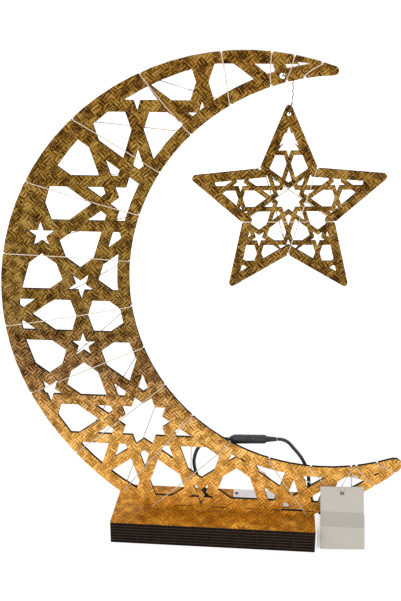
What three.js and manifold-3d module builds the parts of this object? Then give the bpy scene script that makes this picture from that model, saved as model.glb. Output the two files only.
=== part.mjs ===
// Crescent moon centerpiece: a laser-cut crescent with girih fretwork stands in a layered base and is wound with a
// fine light wire. A five-pointed star of the same make hangs in its opening. Millimetres, +Z up, +Y away from the
// viewer. The origin is the centre of the base's underside.
import * as THREE from 'three';
import { mergeVertices } from 'three/addons/utils/BufferGeometryUtils.js';
import Module from 'manifold-3d';

// Stock and clearances
const BOARD = 2.76; // one sheet of fibreboard
const FOIL = 0.28; // gold foil on its paper
const GAP = 0.3; // between pieces that meet

// Base block
const BASE_LENGTH = 176.3;
const BASE_DEPTH = 63.5;
const BASE_CORNER = 0.8;
const BASE_SHEETS = 7;
const SLOTTED_SHEETS = 4;
const PLATE_SETBACK = 24.55; // from the base's front edge to the crescent's face
const TENON_LENGTH = 104;

// Crescent, with places measured from the base's top and middle
const OUTER_RADIUS = 198;
const OUTER_OFFSET = 21.34;
const OUTER_LIFT = 193.03;
const INNER_RADIUS = 162.55;
const CENTRE_DISTANCE = 73.27;
const TILT = 14.22; // of the line through both centres, degrees
const UPPER_TIP_ROUND = 3.2;
const LOWER_TIP_ROUND = 6.2;
const FOOT_LEFT = -59.05; // where the left flare meets the base
const FOOT_RIGHT = 83.7;
const FLARE_START_LEFT = 208; // degrees about the outer centre
const FLARE_START_RIGHT = 304;
const HANGER_HOLE_ANGLE = 81.5; // degrees about the outer centre
const HANGER_HOLE_DEPTH = 16.3; // in from the outer edge
const HANGER_HOLE_RADIUS = 2.3;
const ARC_STEP = 4.5; // degrees

// Fretwork: a lattice of ten-pointed rosettes, cut inside a window that leaves a rim
const ROSETTE_APOTHEM = 80; // half the way between two rosettes
const HALF_STRAP = 4.4;
const ROSETTE_OFFSET = [-82.03, -107.44]; // of the first rosette, from the outer centre
const OUTER_RIM = 1.3; // mean width, before the window's shift
const OUTER_WINDOW_SHIFT = 14.16;
const OUTER_WINDOW_TURN = -21.7;
const INNER_RIM = 9.6;
const HORN_RIM = 8; // outside the lower horn's openings
const HORN_START = 98; // X where it begins
const FOOT_RIM = 4.4;
const LEAST_HOLE = 7; // square millimetres

// Star
const STAR_TIP = 82; // to the sharp point, before rounding
const STAR_NOTCH = 37.7;
const STAR_ROUND = 2.6;
const STAR_TURN = 1.6; // degrees
const STAR_RIM = 7;
const STAR_APOTHEM = 37;
const STAR_HALF_STRAP = 1.62;
const STAR_PATTERN_RISE = 7;
const STAR_LEAST_HOLE = 2.2;
const EYELET_RADIUS = 1.6;
const EYELET_INSET = 10.9; // from the sharp point

// Hanger
const HANGER_WIRE = 0.36; // radius
const HANGER_EXIT_ANGLE = 102.82; // degrees about the inner centre
const HANGER_DROP = [-2.35, -24.55]; // from the exit to the eyelet
const RING_RADIUS = 4.8;
const RING_LEAN = 13; // degrees towards the exit
const TWIST_RADIUS = 0.42;
const TWIST_PITCH = 5;

// Light wire and its notches
const LIGHT_WIRE = 0.4; // radius
const LAMP = 1.15; // radius of a lamp's bead
const LAMP_HALF_LENGTH = 1.9;
const NOTCH_DEPTH = 1.6;
const NOTCH_WIDTH = 1.5;
const NOTCH_MOUTH = 2.3;
const WIRE_TAIL = 7;
const LAMP_AT = 0.45; // of each pass behind the crescent
const STAR_PASS_LIFT = 1.35; // where two passes cross
// Degrees about the outer and the inner centre, for each turn of the wire; they hold for horns whose tips lie at the
// angles of the next line, and stretch with the horns
const TABLE_TIPS = { outer: [70.51, 313.34], inner: [92.09, 291.05] };
const UPPER_TURNS = [[73.6, 99.8], [79.7, 104.5], [84.6, 108.7], [95.4, 120.4], [113.7, 133.6], [132, 147.1],
  [150.3, 160.5], [168.7, 174.2], [187, 187.8], [205.4, 200.8], [224.6, 214.1], [240, 226.9]];
const LOWER_TURNS = [[248.3, 241], [287.1, 254], [296, 266.7], [306, 280.3], [312, 286.4]];

// Leads and the supply cord
const LEAD = 1.5; // radius
const SLEEVE_RADIUS = 2.2;
const SLEEVE_FOOT = [-6.2, -0.5, 31.9];
const SLEEVE_TOP = [-13.2, -0.5, 45.5];
const MOON_LEAD_ROUTE = [[-13.36, -0.5, 45.8], [-15.8, 0.5, 51.5], [-18.4, 2, 63.5], [-15.2, 2, 76], [-7.6, 2, 84.6],
  [0.3, 2, 87.1], [8, 2, 86.9], [12.5, 2, 86.82]];
const CONNECTOR_MOUTH = [30.4, 2, 87.6];
const CONNECTOR_RISE = 2.5; // degrees
const SOCKET_LENGTH = 17.6;
const SOCKET_RADIUS = 4;
const SOCKET_BORE = 2.95;
const BARREL_RADIUS = 2.6;
const BARREL_BORE = 1.3;
const BARREL_LENGTH = 9.5;
const PIN_RADIUS = 0.8;
const PLUG_LENGTH = 13.5;
const PLUG_RADIUS = 3.85;
const RELIEF_LENGTH = 9.2;
const RELIEF_ROOT = 2.7;
const RELIEF_END = 1.95;
const RELIEF_RIBS = 4;
const SUPPLY_LEAD_ROUTE = [[53.7, 2, 88.62], [57.5, 2, 88.5], [62.6, 2.1, 86.2], [68.5, 2.2, 79.7], [74.3, 2.2, 72.4],
  [77.8, 2.2, 66.1], [80, 2, 60], [81.6, 2, 53.5], [82.3, 2, 46.7], [82.7, 2, 40], [84, 1.9, 33.3], [87.2, 2.2, 27.3],
  [91, 3.2, 21], [94.4, 4.6, 14.2], [98, 6.5, 8], [102.4, 8.4, 3.9], [107.6, 9.6, 2], [112.5, 9.87, 1.62]];
const COIL_CENTRE = [112.8, 27];
const COIL_INNER = 12; // centre line
const COIL_PITCH = 3.45;
const COIL_LAYER_TURNS = 1.25;
const COIL_CLIMB_TURNS = 0.5;
const COIL_TURNS = 6.25;
const COIL_FLOOR = 0.12;
const SUPPLY_TAIL_ROUTE = [[129.1, 27.7, 12], [128.9, 32.6, 12.7], [126.9, 39, 14.9], [122.4, 44.4, 17],
  [117, 45.6, 17.6], [113.6, 43.3, 17.6], [112.8, 39.8, 17.6]];
const USB_RELIEF = 6.5;
const USB_BODY = [15.4, 19, 7.5];
const USB_SHELL = [12, 12, 4.5];
const USB_WALL = 0.35;
const USB_TONGUE = [10.8, 8.5, 1.6];

// Tags
const TAG = [36.8, 54, 0.5];
const TAG_HOLE_INSET = 5.6;
const TAG_HOLE_RADIUS = 1.7;
const TAG_ROLL = 2; // degrees
const TAG_BESIDE_BASE = 21.84; // from the base's end to the hole
const TAG_FLOOR_GAP = 0.4;
const REAR_TAG = [41, 29, 0.5];
const REAR_TAG_OVERHANG = 3;
const REAR_TAG_LIFT = 0.7; // above the front tag's foot
const LOOP_RADIUS = 0.4;
const LOOP_ANGLE = 278.7; // degrees about the inner centre
const LOOP_DROP = [-4.6, -19.3]; // from the rim to the tag's hole, forwards and down
const LOOP_RING = 3.8;
const LOOP_OPENING = [178.79, -54.59]; // from the first rosette: where the loop comes through the fretwork
const CARD = [50, 25, 0.4];
const CARD_CORNER = [15.8, 30.6]; // left back corner
const CARD_HOLE = [2.9, 6.8]; // in from that corner
const CARD_EYELET = 1.5;

const GOLD = { color: '#c8892b', roughness: 0.42, metalness: 0.55 };
const CHAR = { color: '#2b1a14', roughness: 0.85, metalness: 0 };
const COPPER = { color: '#b98d62', roughness: 0.35, metalness: 0.6 };
const BLACK_PVC = { color: '#16161a', roughness: 0.5, metalness: 0 };
const STEEL = { color: '#b9bcc0', roughness: 0.3, metalness: 0.9 };
const CLEAR = { color: '#dfe3e6', roughness: 0.25, metalness: 0 };
const PAPER = { color: '#c9c6bf', roughness: 0.9, metalness: 0 };
const WHITE_CARD = { color: '#eceae6', roughness: 0.9, metalness: 0 };
const DARK_WIRE = { color: '#4a443f', roughness: 0.55, metalness: 0.4 };

const wasm = await Module();
wasm.setup();

const centerpiece = new THREE.Group();

// Adds one named piece.
function addPiece(name, geometry, finish, parent = centerpiece) {
  const mesh = new THREE.Mesh(geometry, new THREE.MeshStandardMaterial(finish));
  mesh.name = name;
  parent.add(mesh);
  return mesh;
}

const radians = THREE.MathUtils.degToRad;
const along = (degrees) => [Math.cos(radians(degrees)), Math.sin(radians(degrees))];
const polar = (centre, radius, degrees) => {
  const [c, s] = along(degrees);
  return [centre[0] + radius * c, centre[1] + radius * s];
};
const angleOf = (from, to) => THREE.MathUtils.radToDeg(Math.atan2(to[1] - from[1], to[0] - from[0]));
const circle = (centre, radius, sides) =>
  Array.from({ length: sides }, (_, i) => polar(centre, radius, (360 * i) / sides));

function toSolid(geometry) {
  const bare = geometry.clone();
  bare.deleteAttribute('normal');
  bare.deleteAttribute('uv');
  const merged = mergeVertices(bare, 1e-4);
  return new wasm.Manifold(new wasm.Mesh({
    numProp: 3,
    vertProperties: new Float32Array(merged.attributes.position.array),
    triVerts: new Uint32Array(merged.index.array),
  }));
}

function toGeometry(solid) {
  const mesh = solid.getMesh();
  const geometry = new THREE.BufferGeometry();
  geometry.setAttribute('position', new THREE.BufferAttribute(mesh.vertProperties, 3));
  geometry.setIndex(new THREE.BufferAttribute(mesh.triVerts, 1));
  geometry.computeVertexNormals();
  return geometry;
}

const vectors = (points) => points.map(([x, y]) => new THREE.Vector2(x, y));

function extruded(points, depth, holes = []) {
  const shape = new THREE.Shape(vectors(points));
  for (const hole of holes) shape.holes.push(new THREE.Path(vectors(hole)));
  return new THREE.ExtrudeGeometry(shape, { depth, bevelEnabled: false });
}

// A flat piece with its outline in X and Z, from its front face backwards.
function standing(points, front, thickness, holes = []) {
  return extruded(points, thickness, holes).rotateX(Math.PI / 2).translate(0, front + thickness, 0);
}

// A flat piece with its outline in X and Y, from its underside up.
function lying(points, bottom, thickness, holes = []) {
  return extruded(points, thickness, holes).translate(0, 0, bottom);
}

function rectangle(x0, x1, y0, y1) {
  return [[x0, y0], [x1, y0], [x1, y1], [x0, y1]];
}

function roundedRectangle(length, depth, corner) {
  const points = [];
  [[1, -1, 270], [1, 1, 0], [-1, 1, 90], [-1, -1, 180]].forEach(([sx, sy, start]) => {
    const centre = [sx * (length / 2 - corner), sy * (depth / 2 - corner)];
    for (const turn of [0, 45, 90]) points.push(polar(centre, corner, start + turn));
  });
  return points;
}

// One unbroken tube through the points. Radii may be one number or one for each point.
function tube(points, radii, sides) {
  const path = points.map((p) => new THREE.Vector3(...p));
  const last = path.length - 1;
  const position = [];
  const index = [];
  const tangentAt = (i) => {
    const before = i > 0 ? path[i].clone().sub(path[i - 1]).normalize() : null;
    const after = i < last ? path[i + 1].clone().sub(path[i]).normalize() : null;
    return (before && after ? before.add(after) : before || after).normalize();
  };
  let across = new THREE.Vector3(0.31, 0.53, 0.79);
  path.forEach((centre, i) => {
    const tangent = tangentAt(i);
    across = across.clone().addScaledVector(tangent, -across.dot(tangent)).normalize();
    const up = tangent.clone().cross(across);
    const radius = Array.isArray(radii) ? radii[i] : radii;
    for (let k = 0; k < sides; k++) {
      const [c, s] = along((360 * k) / sides);
      const corner = centre.clone().addScaledVector(across, radius * c).addScaledVector(up, radius * s);
      position.push(corner.x, corner.y, corner.z);
    }
  });
  for (let i = 0; i < last; i++) {
    for (let k = 0; k < sides; k++) {
      const a = i * sides + k;
      const b = i * sides + ((k + 1) % sides);
      index.push(a, b, b + sides, a, b + sides, a + sides);
    }
  }
  for (let k = 1; k < sides - 1; k++) {
    index.push(0, k + 1, k);
    index.push(last * sides, last * sides + k, last * sides + k + 1);
  }
  const geometry = new THREE.BufferGeometry();
  geometry.setAttribute('position', new THREE.Float32BufferAttribute(position, 3));
  geometry.setIndex(index);
  geometry.computeVertexNormals();
  return geometry;
}

// A plain round cord along a smooth curve through hand-chosen points.
function cord(route, radius, steps) {
  const curve = new THREE.CatmullRomCurve3(route.map((p) => new THREE.Vector3(...p)), false, 'centripetal');
  const section = new THREE.Shape(vectors(circle([0, 0], radius, 8)));
  return new THREE.ExtrudeGeometry(section, { steps, extrudePath: curve, bevelEnabled: false });
}

// The least distance between two stretches of a wire, surface to surface, printed for the maker.
function reportSelfGap(name, points, radius) {
  const fine = [];
  points.forEach((p, i) => {
    if (i === 0) return;
    const from = new THREE.Vector3(...points[i - 1]);
    const to = new THREE.Vector3(...p);
    const pieces = Math.max(1, Math.ceil(from.distanceTo(to) / 1.2));
    for (let k = 0; k < pieces; k++) fine.push(from.clone().lerp(to, k / pieces));
  });
  const travelled = [0];
  for (let i = 1; i < fine.length; i++) travelled.push(travelled[i - 1] + fine[i].distanceTo(fine[i - 1]));
  let least = Infinity;
  for (let i = 0; i < fine.length; i++) {
    for (let k = i + 1; k < fine.length; k++) {
      if (travelled[k] - travelled[i] > 12 * radius) least = Math.min(least, fine[i].distanceTo(fine[k]));
    }
  }
  console.log(`${name}: least gap to itself ${(least - 2 * radius).toFixed(2)} mm`);
}

// Places worked out from the sizes above
const boardTop = BASE_SHEETS * BOARD;
const baseTop = boardTop + FOIL;
const face = -BASE_DEPTH / 2 + PLATE_SETBACK; // front of the foil
const boardFace = face + FOIL;
const back = boardFace + BOARD;
const middle = (face + back) / 2;
const shoulder = baseTop + GAP;
const outerCentre = [OUTER_OFFSET, baseTop + OUTER_LIFT];
const innerCentre = polar(outerCentre, CENTRE_DISTANCE, TILT);
const rosette = [outerCentre[0] + ROSETTE_OFFSET[0], outerCentre[1] + ROSETTE_OFFSET[1]];
const tenonMiddle = (FOOT_LEFT + FOOT_RIGHT) / 2;
const tenonFoot = boardTop - SLOTTED_SHEETS * BOARD + GAP;

// The arc that widens the crescent's edge into a foot: it leaves the outer circle at one angle and passes the foot.
function flare(startAngle, footX) {
  const [c, s] = along(startAngle);
  const start = polar(outerCentre, OUTER_RADIUS, startAngle);
  const [dx, dz] = [footX - start[0], shoulder - start[1]];
  const radius = (dx * dx + dz * dz) / (2 * (-dx * c - dz * s));
  return { centre: [start[0] - radius * c, start[1] - radius * s], radius };
}

const leftFlare = flare(FLARE_START_LEFT, FOOT_LEFT);
const rightFlare = flare(FLARE_START_RIGHT, FOOT_RIGHT);
const leftFootAngle = angleOf(outerCentre, [FOOT_LEFT, shoulder]) + 360;
const rightFootAngle = angleOf(outerCentre, [FOOT_RIGHT, shoulder]) + 360;

// The way from the outer centre to the edge, at an angle.
function edgeRadius(degrees) {
  const [c, s] = along(degrees);
  if (degrees > leftFootAngle && degrees < rightFootAngle) return (shoulder - outerCentre[1]) / s;
  if (degrees <= FLARE_START_LEFT || degrees >= FLARE_START_RIGHT) return OUTER_RADIUS;
  const arc = degrees <= leftFootAngle ? leftFlare : rightFlare;
  const [wx, wz] = [arc.centre[0] - outerCentre[0], arc.centre[1] - outerCentre[1]];
  const half = c * wx + s * wz;
  return half + Math.sqrt(half * half - wx * wx - wz * wz + arc.radius * arc.radius);
}

const outerPoint = (degrees) => polar(outerCentre, edgeRadius(degrees), degrees);
const innerPoint = (degrees) => polar(innerCentre, INNER_RADIUS, degrees);

function outerNormal(degrees) {
  const [ax, az] = outerPoint(degrees - 0.1);
  const [bx, bz] = outerPoint(degrees + 0.1);
  const length = Math.hypot(bx - ax, bz - az);
  return [(bz - az) / length, (ax - bx) / length];
}

function innerNormal(degrees) {
  const [c, s] = along(degrees);
  return [-c, -s];
}

// The centre of the arc that rounds a tip: it touches the outer circle from inside and the inner one from outside.
function tipCentre(round, side) {
  const [a, b] = [OUTER_RADIUS - round, INNER_RADIUS + round];
  const lengthways = (CENTRE_DISTANCE ** 2 + a * a - b * b) / (2 * CENTRE_DISTANCE);
  const sideways = side * Math.sqrt(a * a - lengthways * lengthways);
  const [c, s] = along(TILT);
  return [outerCentre[0] + lengthways * c - sideways * s, outerCentre[1] + lengthways * s + sideways * c];
}

const upperTip = tipCentre(UPPER_TIP_ROUND, 1);
const lowerTip = tipCentre(LOWER_TIP_ROUND, -1);
const outerTips = [angleOf(outerCentre, upperTip), angleOf(outerCentre, lowerTip) + 360];
const innerTips = [angleOf(innerCentre, upperTip), angleOf(innerCentre, lowerTip) + 360];

// A station keeps its share of the way between a knee and the horn's tip.
const stretched = (angle, knee, tip, tableTip) => knee + ((angle - knee) * (tip - knee)) / (tableTip - knee);

function outerStation(angle) {
  if (angle < FLARE_START_LEFT) return stretched(angle, FLARE_START_LEFT, outerTips[0], TABLE_TIPS.outer[0]);
  if (angle > FLARE_START_RIGHT) return stretched(angle, FLARE_START_RIGHT, outerTips[1], TABLE_TIPS.outer[1]);
  return angle;
}

function innerStation(angle) {
  const side = angle < 180 + TILT ? 0 : 1;
  return stretched(angle, 180 + TILT, innerTips[side], TABLE_TIPS.inner[side]);
}

const stations = (turns) => turns.map(([outer, inner]) => [outerStation(outer), innerStation(inner)]);
const upperTurns = stations(UPPER_TURNS);
const lowerTurns = stations(LOWER_TURNS);
const drilledHole = polar(outerCentre, OUTER_RADIUS - HANGER_HOLE_DEPTH, outerStation(HANGER_HOLE_ANGLE));
const loopAngle = innerStation(LOOP_ANGLE);

// Points from one angle to another, both included, with named corners kept.
function sweepAngles(from, to, step, place, corners = []) {
  const count = Math.ceil(Math.abs(to - from) / step);
  const angles = Array.from({ length: count + 1 }, (_, i) => from + ((to - from) * i) / count);
  for (const corner of corners) {
    if (!angles.some((angle) => Math.abs(angle - corner) < 0.5)) angles.push(corner);
    else angles[angles.findIndex((angle) => Math.abs(angle - corner) < 0.5)] = corner;
  }
  angles.sort((a, b) => (to > from ? a - b : b - a));
  return angles.map(place);
}

function crescentOutline() {
  const [outerStart, outerEnd] = outerTips;
  const [innerEnd, innerStart] = innerTips;
  const tip = (centre, radius, from, to) =>
    sweepAngles(from, to < from ? to + 360 : to, 40, (angle) => polar(centre, radius, angle)).slice(1, -1);
  return [
    ...sweepAngles(outerStart, outerEnd, ARC_STEP, outerPoint, [leftFootAngle, rightFootAngle]),
    ...tip(lowerTip, LOWER_TIP_ROUND, outerEnd, innerStart - 180),
    ...sweepAngles(innerStart, innerEnd, ARC_STEP, innerPoint),
    ...tip(upperTip, UPPER_TIP_ROUND, innerEnd - 180, outerStart),
  ];
}

// The wire's notch in an edge: the cutter is a little wider at its mouth.
function notch([x, z], [nx, nz]) {
  const corners = [[-NOTCH_DEPTH, -NOTCH_WIDTH / 2], [-NOTCH_DEPTH, NOTCH_WIDTH / 2],
    [NOTCH_DEPTH, NOTCH_MOUTH / 2], [NOTCH_DEPTH, -NOTCH_MOUTH / 2]];
  return corners.map(([out, side]) => [x + out * nx - side * nz, z + out * nz + side * nx]);
}

// Girih cells about one rosette, in units of its apothem: a ten-pointed star, ten kites and ten petals round it, the
// five-pointed stars between rosettes, and the two arrow stars and two petals of the bow tie beside it.
const STAR_OUT = 0.38197;
const STAR_IN = 0.27751;
const KITE_TIP = 0.72654;
const VERTEX = 1.05146;
const SMALL_OUT = 0.32492;
const SMALL_IN = 0.1241;
const BOW_TIE = 1.61803;
const PETAL = [[0.38197, 0], [0.69098, -0.22451], [0.92705, -0.22451], [1, 0], [0.92705, 0.22451], [0.69098, 0.22451]];
const BOW_PETAL = [[0, 0], [0.309, -0.2245], [0.545, -0.2245], [0.618, 0], [0.545, 0.2245], [0.309, 0.2245]];
const ARROW = [[90, SMALL_OUT], [54, SMALL_IN], [18, SMALL_OUT], [270, SMALL_OUT], [162, SMALL_OUT], [126, SMALL_IN]];

function girihCells() {
  const cells = [];
  const tens = Array.from({ length: 10 }, (_, k) => k * 36);
  cells.push(tens.flatMap((turn) => [polar([0, 0], STAR_OUT, turn), polar([0, 0], STAR_IN, turn + 18)]));
  for (const turn of tens) {
    const [c, s] = along(turn);
    cells.push([polar([0, 0], STAR_IN, turn + 18), polar([0, 0], STAR_OUT, turn),
      polar([0, 0], KITE_TIP, turn + 18), polar([0, 0], STAR_OUT, turn + 36)]);
    cells.push(PETAL.map(([u, v]) => [u * c - v * s, u * s + v * c]));
  }
  for (const turn of [18, 54, 126, 162]) {
    const centre = polar([0, 0], VERTEX, turn);
    cells.push(tens.map((step, i) => polar(centre, i % 2 ? SMALL_IN : SMALL_OUT, turn + 180 + step)));
  }
  for (const side of [1, -1]) {
    cells.push(BOW_PETAL.map(([u, v]) => [BOW_TIE + side * u, side * v]));
    cells.push(ARROW.map(([turn, radius]) => {
      const [u, v] = polar([0, 0], radius, turn);
      return [BOW_TIE + u, side * (SMALL_IN + v)];
    }));
  }
  return cells;
}

// The outline moved inwards by a distance.
function inset(points, distance) {
  const turning = THREE.ShapeUtils.area(vectors(points)) > 0 ? points : [...points].reverse();
  return turning.map(([x, y], i) => {
    const before = turning[(i + turning.length - 1) % turning.length];
    const after = turning[(i + 1) % turning.length];
    const inward = ([ax, ay], [bx, by]) => {
      const length = Math.hypot(bx - ax, by - ay);
      return [(ay - by) / length, (bx - ax) / length];
    };
    const [ux, uy] = inward(before, [x, y]);
    const [vx, vy] = inward([x, y], after);
    const share = distance / (1 + ux * vx + uy * vy);
    return [x + share * (ux + vx), y + share * (uy + vy)];
  });
}

// Cutters for the lattice's openings that fall inside the window, as one solid through the plate.
function fretwork(window, origin, apothem, halfStrap, turn, reach, leastHole) {
  const cutters = [];
  const cells = girihCells().map((cell) => inset(cell.map(([u, v]) => [u * apothem, v * apothem]), halfStrap));
  const [tc, ts] = along(turn);
  const span = Math.ceil(reach / apothem);
  for (let i = -span; i <= span; i++) {
    for (let k = -span; k <= span; k++) {
      const [ex, ey] = [2 * apothem * (i + k) * along(36)[0], 2 * apothem * (i - k) * along(36)[1]];
      if (Math.hypot(ex, ey) > reach) continue;
      for (const cell of cells) {
        const placed = cell.map(([u, v]) => {
          const [px, pz] = [u + ex, v + ey];
          return [origin[0] + px * tc - pz * ts, origin[1] + px * ts + pz * tc];
        });
        cutters.push(toSolid(standing(placed, face - BOARD, 3 * BOARD)));
      }
    }
  }
  const cut = wasm.Manifold.union(cutters).intersect(window);
  const depth = 3 * BOARD;
  return wasm.Manifold.union(cut.decompose().filter((hole) => hole.volume() / depth > leastHole));
}

const throughPlate = (points) => toSolid(standing(points, face - BOARD, 3 * BOARD));

function crescentCutters() {
  const outerWindow = polar(outerCentre, OUTER_WINDOW_SHIFT, OUTER_WINDOW_TURN);
  const sides = 360 / ARC_STEP;
  const floor = rectangle(-2 * OUTER_RADIUS, 2 * OUTER_RADIUS, -OUTER_RADIUS, baseTop + FOOT_RIM);
  const hornBand = throughPlate(rectangle(HORN_START, 2 * OUTER_RADIUS, 0, outerCentre[1] / 2))
    .subtract(throughPlate(circle(outerCentre, OUTER_RADIUS - HORN_RIM, sides)));
  const window = throughPlate(circle(outerWindow, OUTER_RADIUS - OUTER_RIM, sides))
    .subtract(throughPlate(circle(innerCentre, INNER_RADIUS + INNER_RIM, sides)))
    .subtract(throughPlate(floor))
    .subtract(hornBand);
  const cuts = [fretwork(window, rosette, ROSETTE_APOTHEM, HALF_STRAP, 0, 2.2 * OUTER_RADIUS, LEAST_HOLE)];
  cuts.push(throughPlate(circle(drilledHole, HANGER_HOLE_RADIUS, 12)));
  for (const [outer, inner] of [...upperTurns, ...lowerTurns]) {
    cuts.push(throughPlate(notch(outerPoint(outer), outerNormal(outer))));
    cuts.push(throughPlate(notch(innerPoint(inner), innerNormal(inner))));
  }
  cuts.push(throughPlate(notch(innerPoint(loopAngle), innerNormal(loopAngle))));
  return wasm.Manifold.union(cuts);
}

// Base block: glued sheets, the upper ones slotted for the tenon, and foil on top
const baseOutline = roundedRectangle(BASE_LENGTH, BASE_DEPTH, BASE_CORNER);
const slot = rectangle(tenonMiddle - TENON_LENGTH / 2 - GAP, tenonMiddle + TENON_LENGTH / 2 + GAP,
  boardFace - GAP, back + GAP);
for (let i = 0; i < BASE_SHEETS; i++) {
  const holes = i >= BASE_SHEETS - SLOTTED_SHEETS ? [slot] : [];
  addPiece(`base_sheet_${i + 1}`, lying(baseOutline, i * BOARD, BOARD, holes), CHAR);
}
addPiece('base_foil', lying(baseOutline, boardTop, FOIL, [slot]), GOLD);

// Crescent: board with its tenon, and the foil on its face
const outline = crescentOutline();
const openings = crescentCutters();
const tenon = rectangle(tenonMiddle - TENON_LENGTH / 2, tenonMiddle + TENON_LENGTH / 2, tenonFoot, shoulder + BOARD);
const crescentBoard = toSolid(standing(outline, boardFace, BOARD)).subtract(openings)
  .add(toSolid(standing(tenon, boardFace, BOARD)));
addPiece('crescent_panel', toGeometry(crescentBoard), CHAR);
addPiece('crescent_foil', toGeometry(toSolid(standing(outline, face, FOIL)).subtract(openings)), GOLD);

// Star: it hangs from the wire that leaves the crescent's inner edge
const hangerExit = innerPoint(innerStation(HANGER_EXIT_ANGLE));
const eyelet = [hangerExit[0] + HANGER_DROP[0], hangerExit[1] + HANGER_DROP[1]];
const starCentre = polar(eyelet, EYELET_INSET - STAR_TIP, 90 + STAR_TURN);
const starArms = [90, 162, 234, 306, 18].map((arm) => arm + STAR_TURN);
const starCorners = starArms.map((arm) => polar(starCentre, STAR_NOTCH, arm + 36));

function sharpStar() {
  return starArms.flatMap((arm, i) => [polar(starCentre, STAR_TIP, arm), starCorners[i]]);
}

function starOutline() {
  const rise = STAR_NOTCH * Math.sin(radians(36));
  const half = THREE.MathUtils.radToDeg(Math.atan2(rise, STAR_TIP - STAR_NOTCH * Math.cos(radians(36))));
  const roundCentre = STAR_TIP - STAR_ROUND / Math.sin(radians(half));
  return starArms.flatMap((arm, i) => {
    const centre = polar(starCentre, roundCentre, arm);
    const reach = 90 - half;
    return [...sweepAngles(arm - reach, arm + reach, 34, (angle) => polar(centre, STAR_ROUND, angle)), starCorners[i]];
  });
}

function starCutters() {
  const patternCentre = polar(starCentre, STAR_PATTERN_RISE, 90 + STAR_TURN);
  const window = throughPlate(inset(sharpStar(), STAR_RIM));
  const cuts = [fretwork(window, patternCentre, STAR_APOTHEM, STAR_HALF_STRAP, STAR_TURN, 1.6 * STAR_TIP,
    STAR_LEAST_HOLE)];
  starCorners.forEach((corner, i) => cuts.push(throughPlate(notch(corner, along(starArms[i] + 36)))));
  cuts.push(throughPlate(circle(eyelet, EYELET_RADIUS, 12)));
  return wasm.Manifold.union(cuts);
}

const starShape = starOutline();
const starOpenings = starCutters();
const cutPlate = (points, front, thickness, cuts) =>
  toGeometry(toSolid(standing(points, front, thickness)).subtract(cuts));
addPiece('star_panel', cutPlate(starShape, boardFace, BOARD, starOpenings), CHAR);
addPiece('star_foil', cutPlate(starShape, face, FOIL, starOpenings), GOLD);

// Light wire: passes in front and behind, with a turn over the edge in each notch
const wireOff = GAP + LIGHT_WIRE;

// Points of the turn over an edge, starting in front; `foot` is the middle of the notch's floor.
function overEdge([x, z], [nx, nz]) {
  const corner = wireOff * Math.SQRT1_2;
  return [[0, face - wireOff], [corner, face - corner], [wireOff, face], [wireOff, back],
    [corner, back + corner], [0, back + wireOff]].map(([out, y]) => [x + out * nx, y, z + out * nz]);
}

const notchFloor = ([x, z], [nx, nz]) => [x - NOTCH_DEPTH * nx, z - NOTCH_DEPTH * nz];
const outerTurn = (angle) => overEdge(notchFloor(outerPoint(angle), outerNormal(angle)), outerNormal(angle));
const innerTurn = (angle) => overEdge(notchFloor(innerPoint(angle), innerNormal(angle)), innerNormal(angle));

// A lamp on a straight pass: five rings that swell the wire, bowed out from the plate.
function lampOn(from, to, share, outward) {
  const start = new THREE.Vector3(...from);
  const way = new THREE.Vector3(...to).sub(start);
  const unit = way.clone().normalize();
  const rings = [[-1, 1], [-0.62, 0.86], [0, 1], [0.62, 0.86], [1, 1]];
  return rings.map(([place, size], i) => {
    const end = i === 0 || i === rings.length - 1;
    const point = start.clone().addScaledVector(way, share).addScaledVector(unit, place * LAMP_HALF_LENGTH);
    if (!end) point.y += outward * (LAMP - LIGHT_WIRE);
    return { point: point.toArray(), radius: end ? LIGHT_WIRE : LAMP * size };
  });
}

// Gathers points with their radii, so that lamps can swell the wire.
class WirePath {
  constructor() {
    this.points = [];
    this.radii = [];
  }

  plain(points) {
    for (const point of points) {
      this.points.push(point);
      this.radii.push(LIGHT_WIRE);
    }
    return this;
  }

  lamp(from, to, share, outward) {
    for (const { point, radius } of lampOn(from, to, share, outward)) {
      this.points.push(point);
      this.radii.push(radius);
    }
    return this;
  }

  addTo(name, parent = centerpiece) {
    reportSelfGap(name, this.points, LIGHT_WIRE);
    return addPiece(name, tube(this.points, this.radii, 6), COPPER, parent);
  }
}

// Turns of the moon's wire in order; each starts in front at the outer edge and ends behind the inner edge.
function windTurns(path, turns) {
  turns.forEach(([outer, inner], i) => {
    const over = outerTurn(outer).reverse();
    if (i > 0) path.lamp(path.points.at(-1), over[0], LAMP_AT, 1);
    path.plain(over).plain(innerTurn(inner));
  });
  return path;
}

const sleeveAxis = new THREE.Vector3(...SLEEVE_TOP).sub(new THREE.Vector3(...SLEEVE_FOOT)).normalize();
const belowSleeve = (side, drop) => [SLEEVE_FOOT[0] + side - drop * sleeveAxis.x, SLEEVE_FOOT[1],
  SLEEVE_FOOT[2] - drop * sleeveAxis.z];
const wireSide = 2 * LIGHT_WIRE;

const upperTail = outerTurn(upperTurns[0][0]).at(-1);
const upperWire = new WirePath().plain([[upperTail[0], upperTail[1], upperTail[2] - WIRE_TAIL]]);
windTurns(upperWire, upperTurns);
upperWire.plain([[-20.5, back + wireOff, 62], [-18.5, back + wireOff, 36], [-13.5, -2.4, 27.6],
  [-8.6, -1, 25.4], belowSleeve(-wireSide, 3.4), belowSleeve(-wireSide, 2 * GAP)]);
upperWire.addTo('moon_light_wire_upper');

const lowerWire = new WirePath().plain([belowSleeve(wireSide, 2 * GAP), belowSleeve(wireSide, 3.4),
  [-6, -1, 23.9], [-12, -2.4, 23.2], [-30, back + wireOff, 22.6]]);
windTurns(lowerWire, lowerTurns);
const lowerTail = lowerWire.points.at(-1);
lowerWire.plain([[lowerTail[0] - 1, lowerTail[1], lowerTail[2] - WIRE_TAIL / 2]]);
lowerWire.addTo('moon_light_wire_lower');

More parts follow.
